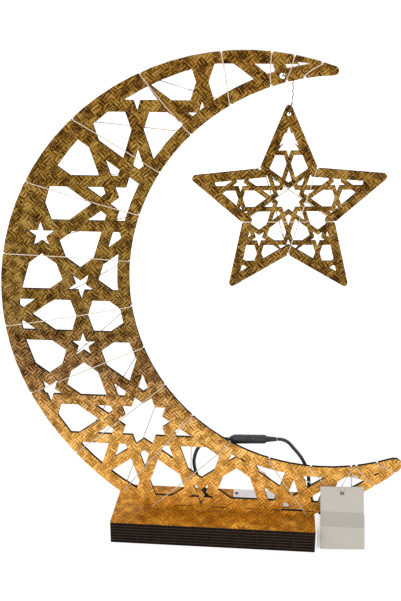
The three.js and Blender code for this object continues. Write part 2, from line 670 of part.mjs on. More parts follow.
// The star's wire runs from corner to corner as a five-pointed figure, in turn in front and behind.
function starWire() {
  const corner = (i) => {
    const normal = along(starArms[i % 5] + 36);
    return overEdge(notchFloor(starCorners[i % 5], normal), normal);
  };
  const path = new WirePath();
  const first = corner(0).at(-1);
  path.plain([[first[0] - 2, first[1], first[2] - WIRE_TAIL / 2], first]);
  // Each leg: the corner it ends at, the side it runs on, and whether it lifts over an earlier leg.
  const legs = [[3, 1, false], [1, -1, false], [4, 1, true], [2, -1, true], [0, 1, false]];
  legs.forEach(([end, side, lifted], i) => {
    const start = path.points.at(-1);
    const turn = side > 0 ? corner(end).reverse() : corner(end);
    const stop = turn[0];
    const between = (share, lift) => [start[0] + share * (stop[0] - start[0]), start[1] + side * lift,
      start[2] + share * (stop[2] - start[2])];
    if (lifted) {
      path.plain([between(0.14, STAR_PASS_LIFT), between(0.86, STAR_PASS_LIFT)]);
    } else if (side > 0) {
      path.lamp(start, stop, 0.2, side);
    }
    if (i < legs.length - 1) path.plain(turn);
    else path.plain([[stop[0] + 3.4, stop[1], stop[2] - 3.4]]);
  });
  return path;
}

starWire().addTo('star_light_wire');

// Hanger: an end through the drilled hole and behind the horn, a twisted wire, and a ring through the star's eyelet
const behind = back + GAP + HANGER_WIRE;
const swingPoint = [hangerExit[0], behind, hangerExit[1]];
const overWire = back + 2 * wireOff + GAP + HANGER_WIRE;
const anchorRoute = [[drilledHole[0], face - 1.1, drilledHole[1] - 0.6], [drilledHole[0], face - 0.5, drilledHole[1]],
  [drilledHole[0], back, drilledHole[1]], [drilledHole[0] + 0.1, overWire, drilledHole[1] + 0.1],
  [drilledHole[0] + 3, overWire, drilledHole[1]],
  [hangerExit[0] - 1.2, behind + 0.3, hangerExit[1] + 3.4], [hangerExit[0], behind, hangerExit[1] + 2.2],
  [swingPoint[0], behind, swingPoint[2] + GAP]];
addPiece('hanger_anchor', tube(anchorRoute, HANGER_WIRE, 6), DARK_WIRE);

const ringAxis = along(90 - RING_LEAN);
const ringCentre = [eyelet[0] + RING_RADIUS * ringAxis[0], middle, eyelet[1] + RING_RADIUS * ringAxis[1]];
const ring = new THREE.TorusGeometry(RING_RADIUS, HANGER_WIRE, 6, 20).rotateY(Math.PI / 2 + radians(RING_LEAN))
  .translate(...ringCentre);
addPiece('hanger_ring', ring, DARK_WIRE);

// The twisted wire turns round the line from the swing point to just above the ring.
function twistedWire() {
  const top = new THREE.Vector3(swingPoint[0], swingPoint[1], swingPoint[2] - GAP);
  const ringTop = RING_RADIUS + HANGER_WIRE + GAP;
  const foot = new THREE.Vector3(ringCentre[0] + ringTop * ringAxis[0], ringCentre[1],
    ringCentre[2] + ringTop * ringAxis[1]);
  const way = foot.clone().sub(top);
  const steps = Math.ceil((way.length() / TWIST_PITCH) * 8);
  const points = [];
  for (let i = 0; i <= steps; i++) {
    const share = i / steps;
    const swell = TWIST_RADIUS * Math.min(1, 6 * share, 6 * (1 - share));
    const [c, s] = along((360 * share * way.length()) / TWIST_PITCH);
    points.push([top.x + share * way.x + swell * c, top.y + share * way.y + swell * s, top.z + share * way.z]);
  }
  return points;
}

addPiece('hanger_wire', tube(twistedWire(), HANGER_WIRE, 6), DARK_WIRE);

// Splice sleeve and the lead to the inline connector
function roundBar(from, to, profile, sides) {
  const start = new THREE.Vector3(...from);
  const way = new THREE.Vector3(...to).sub(start);
  const turn = new THREE.Quaternion().setFromUnitVectors(new THREE.Vector3(0, 1, 0), way.clone().normalize());
  const lathe = new THREE.LatheGeometry(vectors(profile), sides);
  return lathe.applyQuaternion(turn).translate(...from);
}

const sleeveLength = Math.hypot(...SLEEVE_TOP.map((v, i) => v - SLEEVE_FOOT[i]));
const sleeveProfile = [[0, 0], [SLEEVE_RADIUS * 0.75, 0], [SLEEVE_RADIUS, 1.2], [SLEEVE_RADIUS, sleeveLength - 2.5],
  [LEAD + 0.15, sleeveLength], [0, sleeveLength]];
addPiece('splice_sleeve', roundBar(SLEEVE_FOOT, SLEEVE_TOP, sleeveProfile, 12), BLACK_PVC);
addPiece('moon_lead', cord(MOON_LEAD_ROUTE, LEAD, 22), BLACK_PVC);

// Inline connector: a group that lies along its own X axis, with its origin where socket and plug meet
const connector = new THREE.Group();
connector.position.set(...CONNECTOR_MOUTH);
connector.rotation.y = -radians(CONNECTOR_RISE);
centerpiece.add(connector);
const lathe = (profile, sides = 16) => new THREE.LatheGeometry(vectors(profile), sides).rotateZ(-Math.PI / 2);
const boreDepth = BARREL_LENGTH + GAP;
addPiece('lead_socket', lathe([[0, -SOCKET_LENGTH], [LEAD + 0.9, -SOCKET_LENGTH],
  [SOCKET_RADIUS - 0.7, -SOCKET_LENGTH + 2.4],
  [SOCKET_RADIUS, -SOCKET_LENGTH + 3.6], [SOCKET_RADIUS, -1], [SOCKET_RADIUS - 0.4, 0], [SOCKET_BORE, 0],
  [SOCKET_BORE, -boreDepth], [0, -boreDepth]]), BLACK_PVC, connector);
addPiece('socket_pin', lathe([[0, -boreDepth + GAP], [PIN_RADIUS, -boreDepth + GAP], [PIN_RADIUS, -1.6],
  [PIN_RADIUS / 2, -1], [0, -1]], 8), STEEL, connector);
addPiece('plug_barrel', lathe([[BARREL_BORE, -BARREL_LENGTH], [BARREL_RADIUS, -BARREL_LENGTH], [BARREL_RADIUS, 0],
  [BARREL_BORE, 0], [BARREL_BORE, -BARREL_LENGTH]], 12), STEEL, connector);
addPiece('supply_plug', lathe([[0, GAP], [PLUG_RADIUS - 0.4, GAP], [PLUG_RADIUS, GAP + 0.6],
  [PLUG_RADIUS, PLUG_LENGTH - 1], [PLUG_RADIUS - 0.8, PLUG_LENGTH], [0, PLUG_LENGTH]]), BLACK_PVC, connector);

function reliefProfile() {
  const profile = [[0, PLUG_LENGTH + GAP]];
  const pitch = RELIEF_LENGTH / RELIEF_RIBS;
  for (let i = 0; i < RELIEF_RIBS; i++) {
    const start = PLUG_LENGTH + GAP + i * pitch;
    const radius = RELIEF_ROOT + ((RELIEF_END - RELIEF_ROOT) * i) / (RELIEF_RIBS - 1);
    const groove = radius - 0.35;
    profile.push([radius, start], [radius, start + 0.62 * pitch], [groove, start + 0.62 * pitch],
      [groove, start + pitch]);
  }
  profile.push([0, PLUG_LENGTH + GAP + RELIEF_LENGTH]);
  return profile;
}

addPiece('plug_relief', lathe(reliefProfile(), 12), BLACK_PVC, connector);

// Supply cord: the free stretch, the put-away coil, and the end that carries the plug
addPiece('supply_lead', cord(SUPPLY_LEAD_ROUTE, LEAD, 44), BLACK_PVC);

// Centre line of the coil: it spirals in and out at a steady rate and climbs a layer where it reverses.
function coilPoints() {
  const period = COIL_LAYER_TURNS + COIL_CLIMB_TURNS;
  const firstReverse = COIL_LAYER_TURNS + COIL_CLIMB_TURNS / 2;
  const points = [];
  for (let i = 0; i <= COIL_TURNS * 24; i++) {
    const turns = i / 24;
    const layer = Math.floor(turns / period);
    const climb = Math.max(0, turns - layer * period - COIL_LAYER_TURNS) / COIL_CLIMB_TURNS;
    const phase = Math.abs(turns - firstReverse) % (2 * period);
    const radius = COIL_INNER + COIL_PITCH * (phase > period ? 2 * period - phase : phase);
    const [x, y] = polar(COIL_CENTRE, radius, -90 + 360 * turns);
    points.push([x, y, LEAD + COIL_FLOOR + COIL_PITCH * (layer + climb)]);
  }
  return points;
}

const coil = coilPoints();
reportSelfGap('supply_coil', coil, LEAD);
addPiece('supply_coil', tube(coil, LEAD, 6), BLACK_PVC);
addPiece('supply_tail', cord(SUPPLY_TAIL_ROUTE, LEAD, 14), BLACK_PVC);

// Plug on the cord's far end; it lies on the coil and points along -Y
const usb = new THREE.Group();
usb.position.set(...SUPPLY_TAIL_ROUTE.at(-1));
usb.rotation.z = Math.PI;
centerpiece.add(usb);
const box = ([width, length, height], start) =>
  new THREE.BoxGeometry(width, length, height).translate(0, start + length / 2, 0);
const usbRelief = new THREE.LatheGeometry(vectors([[0, GAP], [LEAD + 0.5, GAP], [LEAD + 1.4, USB_RELIEF + 0.5],
  [0, USB_RELIEF + 0.5]]), 12);
const usbTongue = box(USB_TONGUE, USB_RELIEF + USB_BODY[1] - 0.5).translate(0, 0, -USB_TONGUE[2] / 2);
const usbBody = toSolid(box(USB_BODY, USB_RELIEF)).add(toSolid(usbRelief)).add(toSolid(usbTongue));
addPiece('usb_plug_body', toGeometry(usbBody), BLACK_PVC, usb);
const shellRing = extruded(rectangle(-USB_SHELL[0] / 2, USB_SHELL[0] / 2, -USB_SHELL[2] / 2, USB_SHELL[2] / 2),
  USB_SHELL[1], [rectangle(USB_WALL - USB_SHELL[0] / 2, USB_SHELL[0] / 2 - USB_WALL,
    USB_WALL - USB_SHELL[2] / 2, USB_SHELL[2] / 2 - USB_WALL)]);
shellRing.rotateX(Math.PI / 2).translate(0, USB_RELIEF + USB_BODY[1] + GAP + USB_SHELL[1], 0);
addPiece('usb_plug_shell', shellRing, STEEL, usb);

// Tags: a clear loop wraps the rim, its strand hangs from it with a ring through the tags' hole
const loopPoint = notchFloor(innerPoint(loopAngle), innerNormal(loopAngle));
const loopOff = GAP + LOOP_RADIUS;
const [loopX, loopZ] = loopPoint;
const [holeX, holeZ] = [rosette[0] + LOOP_OPENING[0], rosette[1] + LOOP_OPENING[1]];
const outsideWire = back + 2 * wireOff + GAP + LOOP_RADIUS;
const wrapRoute = [[loopX + 0.1, face - loopOff, loopZ - 1.1], ...overEdge(loopPoint, [0, 1]).slice(1, -1),
  [loopX, back + loopOff, loopZ - 1.1], [loopX, outsideWire, loopZ - 6], [holeX, outsideWire, holeZ + 3.4],
  [holeX, back, holeZ], [holeX, face, holeZ - 0.4], [holeX, face - loopOff, holeZ + 0.5],
  [loopX + 0.9, face - loopOff, loopZ - 5]];
addPiece('tag_loop_wrap', tube(wrapRoute, LOOP_RADIUS, 6), CLEAR);

const liftPoint = [loopX, face - loopOff - 0.2, loopZ - 1.1 - 2 * GAP];
const [rollUp, rollAcross] = along(TAG_ROLL);
const tagReach = (TAG[1] - TAG_HOLE_INSET) * rollUp + (TAG[0] / 2) * rollAcross;
const tagHole = [BASE_LENGTH / 2 + TAG_BESIDE_BASE, liftPoint[1] + LOOP_DROP[0], liftPoint[2] + LOOP_DROP[1]];
const tagLean = Math.acos(Math.min(1, (tagHole[2] - TAG_FLOOR_GAP) / tagReach));
const [leanUp, leanBack] = [Math.cos(tagLean), Math.sin(tagLean)];
// A point of the ring, which leans with the tag: across it and up from the hole
const onRing = (across, up) => [tagHole[0], tagHole[1] + across * leanUp + up * leanBack,
  tagHole[2] - across * leanBack + up * leanUp];
const ringTop = onRing(0, 2 * LOOP_RING);
const strandRoute = [[liftPoint[0], liftPoint[1], liftPoint[2] - GAP],
  [ringTop[0] + 0.6, ringTop[1], ringTop[2] + 0.9]];
for (let i = 0; i <= 20; i++) {
  const [c, s] = along(82 - (344 * i) / 20);
  strandRoute.push(onRing(LOOP_RING * c, LOOP_RING + LOOP_RING * s));
}
addPiece('tag_loop', tube(strandRoute, LOOP_RADIUS, 6), CLEAR);

const tags = new THREE.Group();
tags.position.set(...tagHole);
tags.rotation.set(-tagLean, radians(-TAG_ROLL), 0, 'XYZ');
centerpiece.add(tags);
const tagOutline = rectangle(-TAG[0] / 2, TAG[0] / 2, TAG_HOLE_INSET - TAG[1], TAG_HOLE_INSET);
addPiece('front_tag', standing(tagOutline, -TAG[2] / 2, TAG[2], [circle([0, 0], TAG_HOLE_RADIUS, 12)]), PAPER, tags);
const rearFoot = TAG_HOLE_INSET - TAG[1] + REAR_TAG_LIFT;
const rearOutline = rectangle(-TAG[0] / 2 - REAR_TAG_OVERHANG, REAR_TAG[0] - TAG[0] / 2 - REAR_TAG_OVERHANG,
  rearFoot, rearFoot + REAR_TAG[1]);
addPiece('rear_tag', standing(rearOutline, TAG[2] / 2 + GAP, REAR_TAG[2]), WHITE_CARD, tags);

// Loose card on the base behind the crescent, with its eyelet
const [cardX, cardY] = CARD_CORNER;
const cardHole = [cardX + CARD_HOLE[0], cardY - CARD_HOLE[1]];
addPiece('lying_card', lying(rectangle(cardX, cardX + CARD[0], cardY - CARD[1], cardY), baseTop + GAP, CARD[2],
  [circle(cardHole, CARD_EYELET + GAP, 12)]), WHITE_CARD);
addPiece('card_eyelet', lying(circle(cardHole, CARD_EYELET, 12), baseTop + GAP, CARD[2] + 0.3,
  [circle(cardHole, CARD_EYELET / 2, 8)]), BLACK_PVC);

export default centerpiece;
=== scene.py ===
"""Looks of the crescent moon centerpiece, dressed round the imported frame.

Metres, +Z up, +Y away from the viewer. Sizes in this file are in millimetres and turned to metres by MM.
"""

import logging
import math
from dataclasses import dataclass, field
from enum import Enum

import bmesh
import bpy
from mathutils import Matrix, Vector


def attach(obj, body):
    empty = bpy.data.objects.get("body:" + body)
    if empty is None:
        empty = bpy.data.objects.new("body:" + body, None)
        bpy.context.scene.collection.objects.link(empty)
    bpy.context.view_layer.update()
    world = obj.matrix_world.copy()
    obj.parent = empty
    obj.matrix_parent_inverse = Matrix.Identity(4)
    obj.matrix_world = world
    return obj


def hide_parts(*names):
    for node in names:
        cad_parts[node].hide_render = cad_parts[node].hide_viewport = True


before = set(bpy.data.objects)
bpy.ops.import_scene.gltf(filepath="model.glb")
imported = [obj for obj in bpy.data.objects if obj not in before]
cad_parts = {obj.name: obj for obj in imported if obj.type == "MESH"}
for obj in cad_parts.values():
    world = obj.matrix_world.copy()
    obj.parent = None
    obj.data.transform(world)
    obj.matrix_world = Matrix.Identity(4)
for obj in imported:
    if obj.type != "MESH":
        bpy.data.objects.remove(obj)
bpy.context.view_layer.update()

MM = 0.001
LOG = logging.getLogger("centerpiece")

BOARD = 2.76  # one sheet of fibreboard
FOIL = 0.28
GAP = 0.3
PLATE_FACE = -7.2  # front of the crescent's foil
PLATE_BACK = PLATE_FACE + FOIL + BOARD
PLATE_MIDDLE = (PLATE_FACE + PLATE_BACK) / 2
BASE_SHEETS = 7
BASE_TOP = BASE_SHEETS * BOARD + FOIL
STRING_OFF = 0.7  # middle of a light string's two wires from the board
LAMP_OUT = 0.75  # middle of a lamp from the middle of its string
SHARP = math.radians(40)  # edges that bend more than this are shown sharp

Point = tuple[float, float, float]


class Sheet(Enum):
    """Which way a foil-covered sheet lies."""

    STANDING = (math.radians(90), 0.0, 0.0)
    LYING = (0.0, 0.0, 0.0)


class Body(Enum):
    """The frame's bodies."""

    STAND = "stand"
    HANGER = "hanger_wire"
    RING = "hanger_ring"
    STAR = "star"
    LOOP = "tag_loop"
    TAGS = "tags"


# Shared helpers


def linear(colour: str) -> tuple[float, float, float, float]:
    """Turn an sRGB hex colour to linear light.

    Args:
        colour: six hex digits with a leading #.

    Returns:
        Red, green, blue and an alpha of 1.
    """
    parts = [int(colour[i:i + 2], 16) / 255 for i in (1, 3, 5)]
    return tuple(c / 12.92 if c <= 0.04045 else ((c + 0.055) / 1.055) ** 2.4 for c in parts) + (1.0,)


def feed(tree: bpy.types.NodeTree, node: bpy.types.Node, inputs: dict) -> None:
    """Link or set a node's inputs.

    Args:
        tree: the node tree.
        node: the node.
        inputs: input name or index to a socket to link, or to a constant.
    """
    for key, value in inputs.items():
        if isinstance(value, bpy.types.NodeSocket):
            tree.links.new(value, node.inputs[key])
        else:
            node.inputs[key].default_value = value


def add_node(tree: bpy.types.NodeTree, kind: str, inputs: dict | None = None,
             **settings: object) -> bpy.types.Node:
    """Add one node with its settings and links.

    Args:
        tree: the material's or world's node tree.
        kind: the node's type name, less its leading ShaderNode.
        inputs: input name or index to a socket to link, or to a constant.
        **settings: attributes of the node.

    Returns:
        The new node.
    """
    node = tree.nodes.new("ShaderNode" + kind)
    for name, value in settings.items():
        setattr(node, name, value)
    feed(tree, node, inputs or {})
    return node


def fill_ramp(node: bpy.types.Node, stops: list[tuple[float, tuple]]) -> bpy.types.Node:
    """Give a colour ramp its stops.

    Args:
        node: the ramp.
        stops: position and linear colour of each stop, in order.

    Returns:
        The same node.
    """
    elements = node.color_ramp.elements
    while len(elements) < len(stops):
        elements.new(0.5)
    for element, (place, colour) in zip(elements, stops):
        element.position = place
        element.color = colour
    return node


def new_material(name: str) -> tuple[bpy.types.Material, bpy.types.NodeTree, bpy.types.Node]:
    """Start a node material.

    Args:
        name: the material's name.

    Returns:
        The material, its node tree and its Principled node.
    """
    material = bpy.data.materials.new(name)
    material.use_nodes = True
    tree = material.node_tree
    return material, tree, tree.nodes["Principled BSDF"]


def grey(value: float) -> tuple[float, float, float, float]:
    """Give a linear grey."""
    return (value, value, value, 1.0)


def scaled(colour: str, *shares: float) -> tuple[float, float, float, float]:
    """Darken or lighten a colour.

    Args:
        colour: six hex digits with a leading #.
        *shares: what its linear red, green and blue are multiplied by, or one share for all three.

    Returns:
        Red, green, blue and an alpha of 1, in linear light.
    """
    return tuple(part * share for part, share in zip(linear(colour), shares * (3 // len(shares)))) + (1.0,)


def facing_share(tree: bpy.types.NodeTree, place: bpy.types.NodeSocket, axis: str) -> bpy.types.NodeSocket:
    """Tell a sheet's faces from its cut walls.

    Args:
        tree: the material's node tree.
        place: the object's own coordinates.
        axis: the axis across the sheet.

    Returns:
        1 on the faces, 0 on the walls.
    """
    facing = add_node(tree, "SeparateXYZ", {0: place.node.outputs["Normal"]})
    size = add_node(tree, "Math", {0: facing.outputs[axis]}, operation="ABSOLUTE").outputs[0]
    return add_node(tree, "Math", {0: size, 1: 0.7}, operation="GREATER_THAN").outputs[0]


# Finishes


@dataclass(frozen=True)
class Finish:
    """What a surface is made of; each kind of finish draws its own nodes."""

    name: str

    def build(self) -> bpy.types.Material:
        """Build the material."""
        material, tree, shader = new_material(self.name)
        place = add_node(tree, "TexCoord").outputs["Object"]
        feed(tree, shader, self.draw(tree, place))
        return material

    def draw(self, tree: bpy.types.NodeTree, place: bpy.types.NodeSocket) -> dict:
        """Draw the finish.

        Args:
            tree: the material's node tree.
            place: the object's own coordinates, in metres.

        Returns:
            What each input of the Principled node is fed with.
        """
        raise NotImplementedError


@dataclass(frozen=True)
class EmbossedFoil(Finish):
    """Gold foil on paper, hot-embossed with a basket weave of fine lines and small nested diamonds.

    The relief's glints are painted in tile by tile as highlights and shade: a woven, glinting mottle.
    Its cut edges are burnt.
    """

    sheet: Sheet
    # height above the table in millimetres, and the foil's mean colour there, with painted light: the one
    # foil is drawn lighter near the table
    lit_tones: tuple[tuple[float, str], ...]
    strand: float = 6.8  # width of one woven tile
    line: float = 2.4  # spacing of the lines in a tile; drawn coarse, so that they show
    waver: float = 3.6  # how far the hand-cut roller's pattern strays, millimetres
    relief: float = 0.12  # depth of the emboss, millimetres
    char: str = "#170e09"
    calm: tuple[float, float] = (60.0, 150.0)  # heights between which the painted glint grows to its full strength

    def draw(self, tree: bpy.types.NodeTree, place: bpy.types.NodeSocket) -> dict:
        """Draw the finish."""
        flat = add_node(tree, "Mapping", {
            "Vector": place, "Rotation": self.sheet.value, "Scale": (1 / MM,) * 3}).outputs[0]
        drawn = add_node(tree, "TexNoise", {"Vector": flat, "Scale": 0.12, "Detail": 1.0}).outputs["Color"]
        drawn = add_node(tree, "VectorMath", {0: drawn, 1: (self.waver,) * 3, 2: flat},
                         operation="MULTIPLY_ADD").outputs[0]
        woven = add_node(tree, "Mapping", {"Vector": drawn, "Rotation": (0, 0, math.radians(45))}).outputs[0]
        cells = add_node(tree, "TexChecker", {"Vector": woven, "Scale": 1 / self.strand}).outputs["Fac"]
        height = self.emboss(tree, woven, cells)
        share = self.glint(tree, flat, woven, cells, height)
        # painted highlights and painted shade: the glint share runs from near-black shaded facets to
        # bluish-white highlights and reflections
        painted_glint_tint = fill_ramp(add_node(tree, "ValToRGB", {"Fac": share}), [
            (0.0, (0.1, 0.07, 0.035, 1)), (0.26, (0.35, 0.3, 0.19, 1)), (0.5, (0.93, 0.9, 0.86, 1)),
            (0.76, (1.4, 1.52, 2.05, 1)), (1.0, (1.9, 2.4, 4.8, 1))]).outputs["Color"]
        up = add_node(tree, "SeparateXYZ", {0: place}).outputs["Z"]
        # the painted glint is weaker near the table
        strength = add_node(tree, "MapRange", {
            "Value": up, "From Min": self.calm[0] * MM, "From Max": self.calm[1] * MM, "To Min": 0.58,
            "To Max": 1.0}).outputs[0]
        painted_glint_tint = add_node(tree, "Mix", {0: strength, 6: grey(1.0), 7: painted_glint_tint}, data_type="RGBA").outputs[2]
        low, high = self.lit_tones[0][0], self.lit_tones[-1][0]
        level = add_node(tree, "MapRange", {
            "Value": up, "From Min": low * MM, "From Max": high * MM}).outputs[0]
        # painted light: the foil's colour follows its height, lighter near the table and darker higher up
        lit_tone = fill_ramp(add_node(tree, "ValToRGB", {"Fac": level}),
                         [((z - low) / (high - low), linear(c)) for z, c in self.lit_tones]).outputs["Color"]
        # the foil's colour with its painted light, times the painted highlights and shade
        gold = add_node(
            tree, "Mix", {0: 1.0, 6: lit_tone, 7: painted_glint_tint}, data_type="RGBA", blend_type="MULTIPLY").outputs[2]
        face = facing_share(tree, place, "Y" if self.sheet is Sheet.STANDING else "Z")
        colour = add_node(tree, "Mix", {0: face, 6: linear(self.char), 7: gold}, data_type="RGBA")
        rough = add_node(tree, "MapRange", {"Value": share, "To Min": 0.55, "To Max": 0.36}).outputs[0]
        metal = add_node(tree, "Math", {0: face, 1: 0.3}, operation="MULTIPLY").outputs[0]
        bump = add_node(tree, "Bump", {"Height": height, "Distance": self.relief * MM, "Strength": 0.8})
        return {"Base Color": colour.outputs[2], "Roughness": rough, "Metallic": metal,
                "Specular IOR Level": 0.06, "Normal": bump.outputs[0]}

    def emboss(self, tree: bpy.types.NodeTree, woven: bpy.types.NodeSocket,
               cells: bpy.types.NodeSocket) -> bpy.types.NodeSocket:
        """Draw the relief: lines that turn by a right angle from tile to tile, with nested diamonds between.

        Args:
            tree: the material's node tree.
            woven: coordinates along the weave, in millimetres.
            cells: 0 or 1 by tile.

        Returns:
            The height, 0 to 1.
        """
        lines = [add_node(tree, "TexWave", {"Vector": woven, "Scale": math.pi / 10 / self.line,
                                            "Distortion": 0.8, "Detail Scale": 0.5},
                          bands_direction=way).outputs["Fac"] for way in ("X", "Y")]
        weave = add_node(tree, "Mix", {0: cells, 2: lines[0], 3: lines[1]}).outputs[0]
        half = add_node(tree, "Mapping", {"Vector": woven, "Scale": (0.5 / self.strand,) * 3}).outputs[0]
        diamond = add_node(tree, "TexVoronoi", {"Vector": half, "Scale": 1.0, "Randomness": 0.0},
                           distance="CHEBYCHEV", voronoi_dimensions="2D").outputs["Distance"]
        rings = add_node(tree, "Math", {0: diamond, 1: 62.0}, operation="MULTIPLY").outputs[0]
        rings = add_node(tree, "Math", {0: rings}, operation="SINE").outputs[0]
        nested = add_node(tree, "MapRange", {
            "Value": diamond, "From Min": 0.2, "From Max": 0.23, "To Min": 1.0, "To Max": 0.0}).outputs[0]
        return add_node(tree, "Mix", {0: nested, 2: weave, 3: rings}).outputs[0]

    def glint(self, tree: bpy.types.NodeTree, flat: bpy.types.NodeSocket, woven: bpy.types.NodeSocket,
              cells: bpy.types.NodeSocket, height: bpy.types.NodeSocket) -> bpy.types.NodeSocket:
        """Work out the painted glint: how bright each place is painted.

        Args:
            tree: the material's node tree.
            flat: coordinates in the sheet's plane, in millimetres.
            woven: the same, turned along the weave.
            cells: 0 or 1 by tile.
            height: the relief.

        Returns:
            The share of full painted glint, 0 to 1.
        """
        drift = add_node(tree, "TexNoise", {"Vector": flat, "Scale": 0.11, "Detail": 3.0}).outputs["Fac"]
        streaks = []
        # painted glint in streaks 1 mm wide and 5 mm long, along the tile's lines
        for scale in ((1.1, 0.2, 1.0), (0.2, 1.1, 1.0)):
            run = add_node(tree, "Mapping", {"Vector": woven, "Scale": scale}).outputs[0]
            streaks.append(add_node(tree, "TexNoise", {"Vector": run, "Scale": 0.8, "Detail": 3.0,
                                                       "Roughness": 0.65}).outputs["Fac"])
        streak = add_node(tree, "Mix", {0: cells, 2: streaks[0], 3: streaks[1]}).outputs[0]
        # painted glint that differs from tile to tile, as each tile catches the light differently
        tile = add_node(tree, "Mapping", {"Vector": woven, "Scale": (1 / self.strand,) * 3}).outputs[0]
        tile = add_node(tree, "VectorMath", {0: tile}, operation="FLOOR").outputs[0]
        tile_glint = add_node(tree, "TexWhiteNoise", {"Vector": tile}, noise_dimensions="2D").outputs["Value"]
        total = add_node(tree, "Math", {0: height, 1: 0.33}, operation="MULTIPLY").outputs[0]
        for part, weight in ((cells, 0.05), (tile_glint, 0.2), (streak, 1.55), (drift, 0.65)):
            total = add_node(
                tree, "Math", {0: part, 1: weight, 2: total}, operation="MULTIPLY_ADD").outputs[0]
        return add_node(tree, "MapRange", {"Value": total, "From Min": 1.06, "From Max": 1.7}).outputs[0]


@dataclass(frozen=True)
class LaserCutBoard(Finish):
    """Medium-density fibreboard, laser cut: tan faces, and walls burnt to a dull brown black."""

    char: str = "#0f0906"
    scorch: str = "#231711"
    face: str = "#8b6a4b"
    sheet_edges: bool = False  # a stack of sheets shows a paler line at each joint

    def draw(self, tree: bpy.types.NodeTree, place: bpy.types.NodeSocket) -> dict:
        """Draw the finish."""
        flat = facing_share(tree, place, "Z" if self.sheet_edges else "Y")
        streaks = add_node(tree, "Mapping", {"Vector": place, "Scale": (350, 350, 90)}).outputs[0]
        soot = add_node(tree, "TexNoise", {"Vector": streaks, "Scale": 1.0, "Detail": 4.0,
                                           "Roughness": 0.65}).outputs["Fac"]
        fibre = add_node(tree, "TexNoise", {"Vector": place, "Scale": 900.0, "Detail": 3.0}).outputs["Fac"]
        burnt = fill_ramp(add_node(tree, "ValToRGB", {"Fac": soot}),
                          [(0.35, linear(self.char)), (0.7, linear(self.scorch))]).outputs["Color"]
        if self.sheet_edges:
            up = add_node(tree, "SeparateXYZ", {0: place}).outputs["Z"]
            joint = add_node(tree, "Math", {0: up, 1: BOARD * MM / 2}, operation="PINGPONG").outputs[0]
            near = add_node(tree, "MapRange", {"Value": joint, "From Min": 0.08 * MM, "From Max": 0.26 * MM,
                                               "To Min": 0.42, "To Max": 0.0}).outputs[0]
            burnt = add_node(
                tree, "Mix", {0: near, 6: burnt, 7: linear("#75655a")}, data_type="RGBA").outputs[2]
        raw = fill_ramp(add_node(tree, "ValToRGB", {"Fac": fibre}), [
            (0.3, linear("#6f5239")), (0.7, linear(self.face))]).outputs["Color"]
        smoke = add_node(tree, "TexNoise", {"Vector": place, "Scale": 22.0, "Detail": 3.0}).outputs["Fac"]
        smoke = add_node(tree, "MapRange", {
            "Value": smoke, "From Min": 0.45, "From Max": 0.75, "To Max": 0.45}).outputs[0]
        raw = add_node(tree, "Mix", {0: smoke, 6: raw, 7: linear(self.scorch)}, data_type="RGBA").outputs[2]
        colour = add_node(tree, "Mix", {0: flat, 6: burnt, 7: raw}, data_type="RGBA").outputs[2]
        bump = add_node(tree, "Bump", {"Height": soot, "Distance": 0.08 * MM, "Strength": 0.5})
        return {
            "Base Color": colour, "Roughness": 0.82, "Specular IOR Level": 0.06, "Normal": bump.outputs[0]}


@dataclass(frozen=True)
class LacqueredWire(Finish):
    """Fine wire under clear lacquer: a soft wet highlight over the metal's colour; copper's colour holds
    painted sheen.
    """

    metal: str
    metallic: float = 0.55
    roughness: float = 0.3
    coat: float = 0.5

    def draw(self, tree: bpy.types.NodeTree, place: bpy.types.NodeSocket) -> dict:
        """Draw the finish."""
        wear = add_node(tree, "TexNoise", {"Vector": place, "Scale": 120.0, "Detail": 2.0}).outputs["Fac"]
        colour = fill_ramp(add_node(tree, "ValToRGB", {"Fac": wear}), [
            (0.35, scaled(self.metal, 0.75, 0.72, 0.68)), (0.7, linear(self.metal))])
        return {"Base Color": colour.outputs["Color"], "Metallic": self.metallic,
                "Roughness": self.roughness, "Coat Weight": self.coat, "Coat Roughness": 0.12}


@dataclass(frozen=True)
class CastResin(Finish):
    """Clear epoxy, hand-dipped over a lamp: smooth and slightly milky, with the chip's yellow inside."""

    colour: str = "#f2ead2"

    def draw(self, tree: bpy.types.NodeTree, place: bpy.types.NodeSocket) -> dict:
        """Draw the finish."""
        cloud = add_node(tree, "TexNoise", {"Vector": place, "Scale": 600.0}).outputs["Fac"]
        colour = fill_ramp(add_node(tree, "ValToRGB", {"Fac": cloud}), [
            (0.3, linear(self.colour)), (0.8, linear("#ffffff"))])
        return {"Base Color": colour.outputs["Color"], "Transmission Weight": 0.75,
                "Roughness": 0.12, "IOR": 1.52}


@dataclass(frozen=True)
class Moulded(Finish):
    """Moulded or extruded plastic: even colour, a fine surface grain and a soft highlight."""

    colour: str
    roughness: float = 0.45
    grain: float = 0.5  # spacing of the surface grain, millimetres
    relief: float = 0.02

    def draw(self, tree: bpy.types.NodeTree, place: bpy.types.NodeSocket) -> dict:
        """Draw the finish."""
        grain = add_node(
            tree, "TexNoise", {"Vector": place, "Scale": 1 / (self.grain * MM), "Detail": 2.0}).outputs["Fac"]
        dust = add_node(tree, "TexNoise", {"Vector": place, "Scale": 60.0, "Detail": 3.0}).outputs["Fac"]
        colour = fill_ramp(add_node(tree, "ValToRGB", {"Fac": dust}), [
            (0.35, scaled(self.colour, 0.8)), (0.75, scaled(self.colour, 1.2))])
        rough = add_node(tree, "MapRange", {
            "Value": dust, "To Min": self.roughness - 0.06, "To Max": self.roughness + 0.1}).outputs[0]
        bump = add_node(tree, "Bump", {"Height": grain, "Distance": self.relief * MM, "Strength": 0.6})
        return {"Base Color": colour.outputs["Color"], "Roughness": rough, "Normal": bump.outputs[0]}


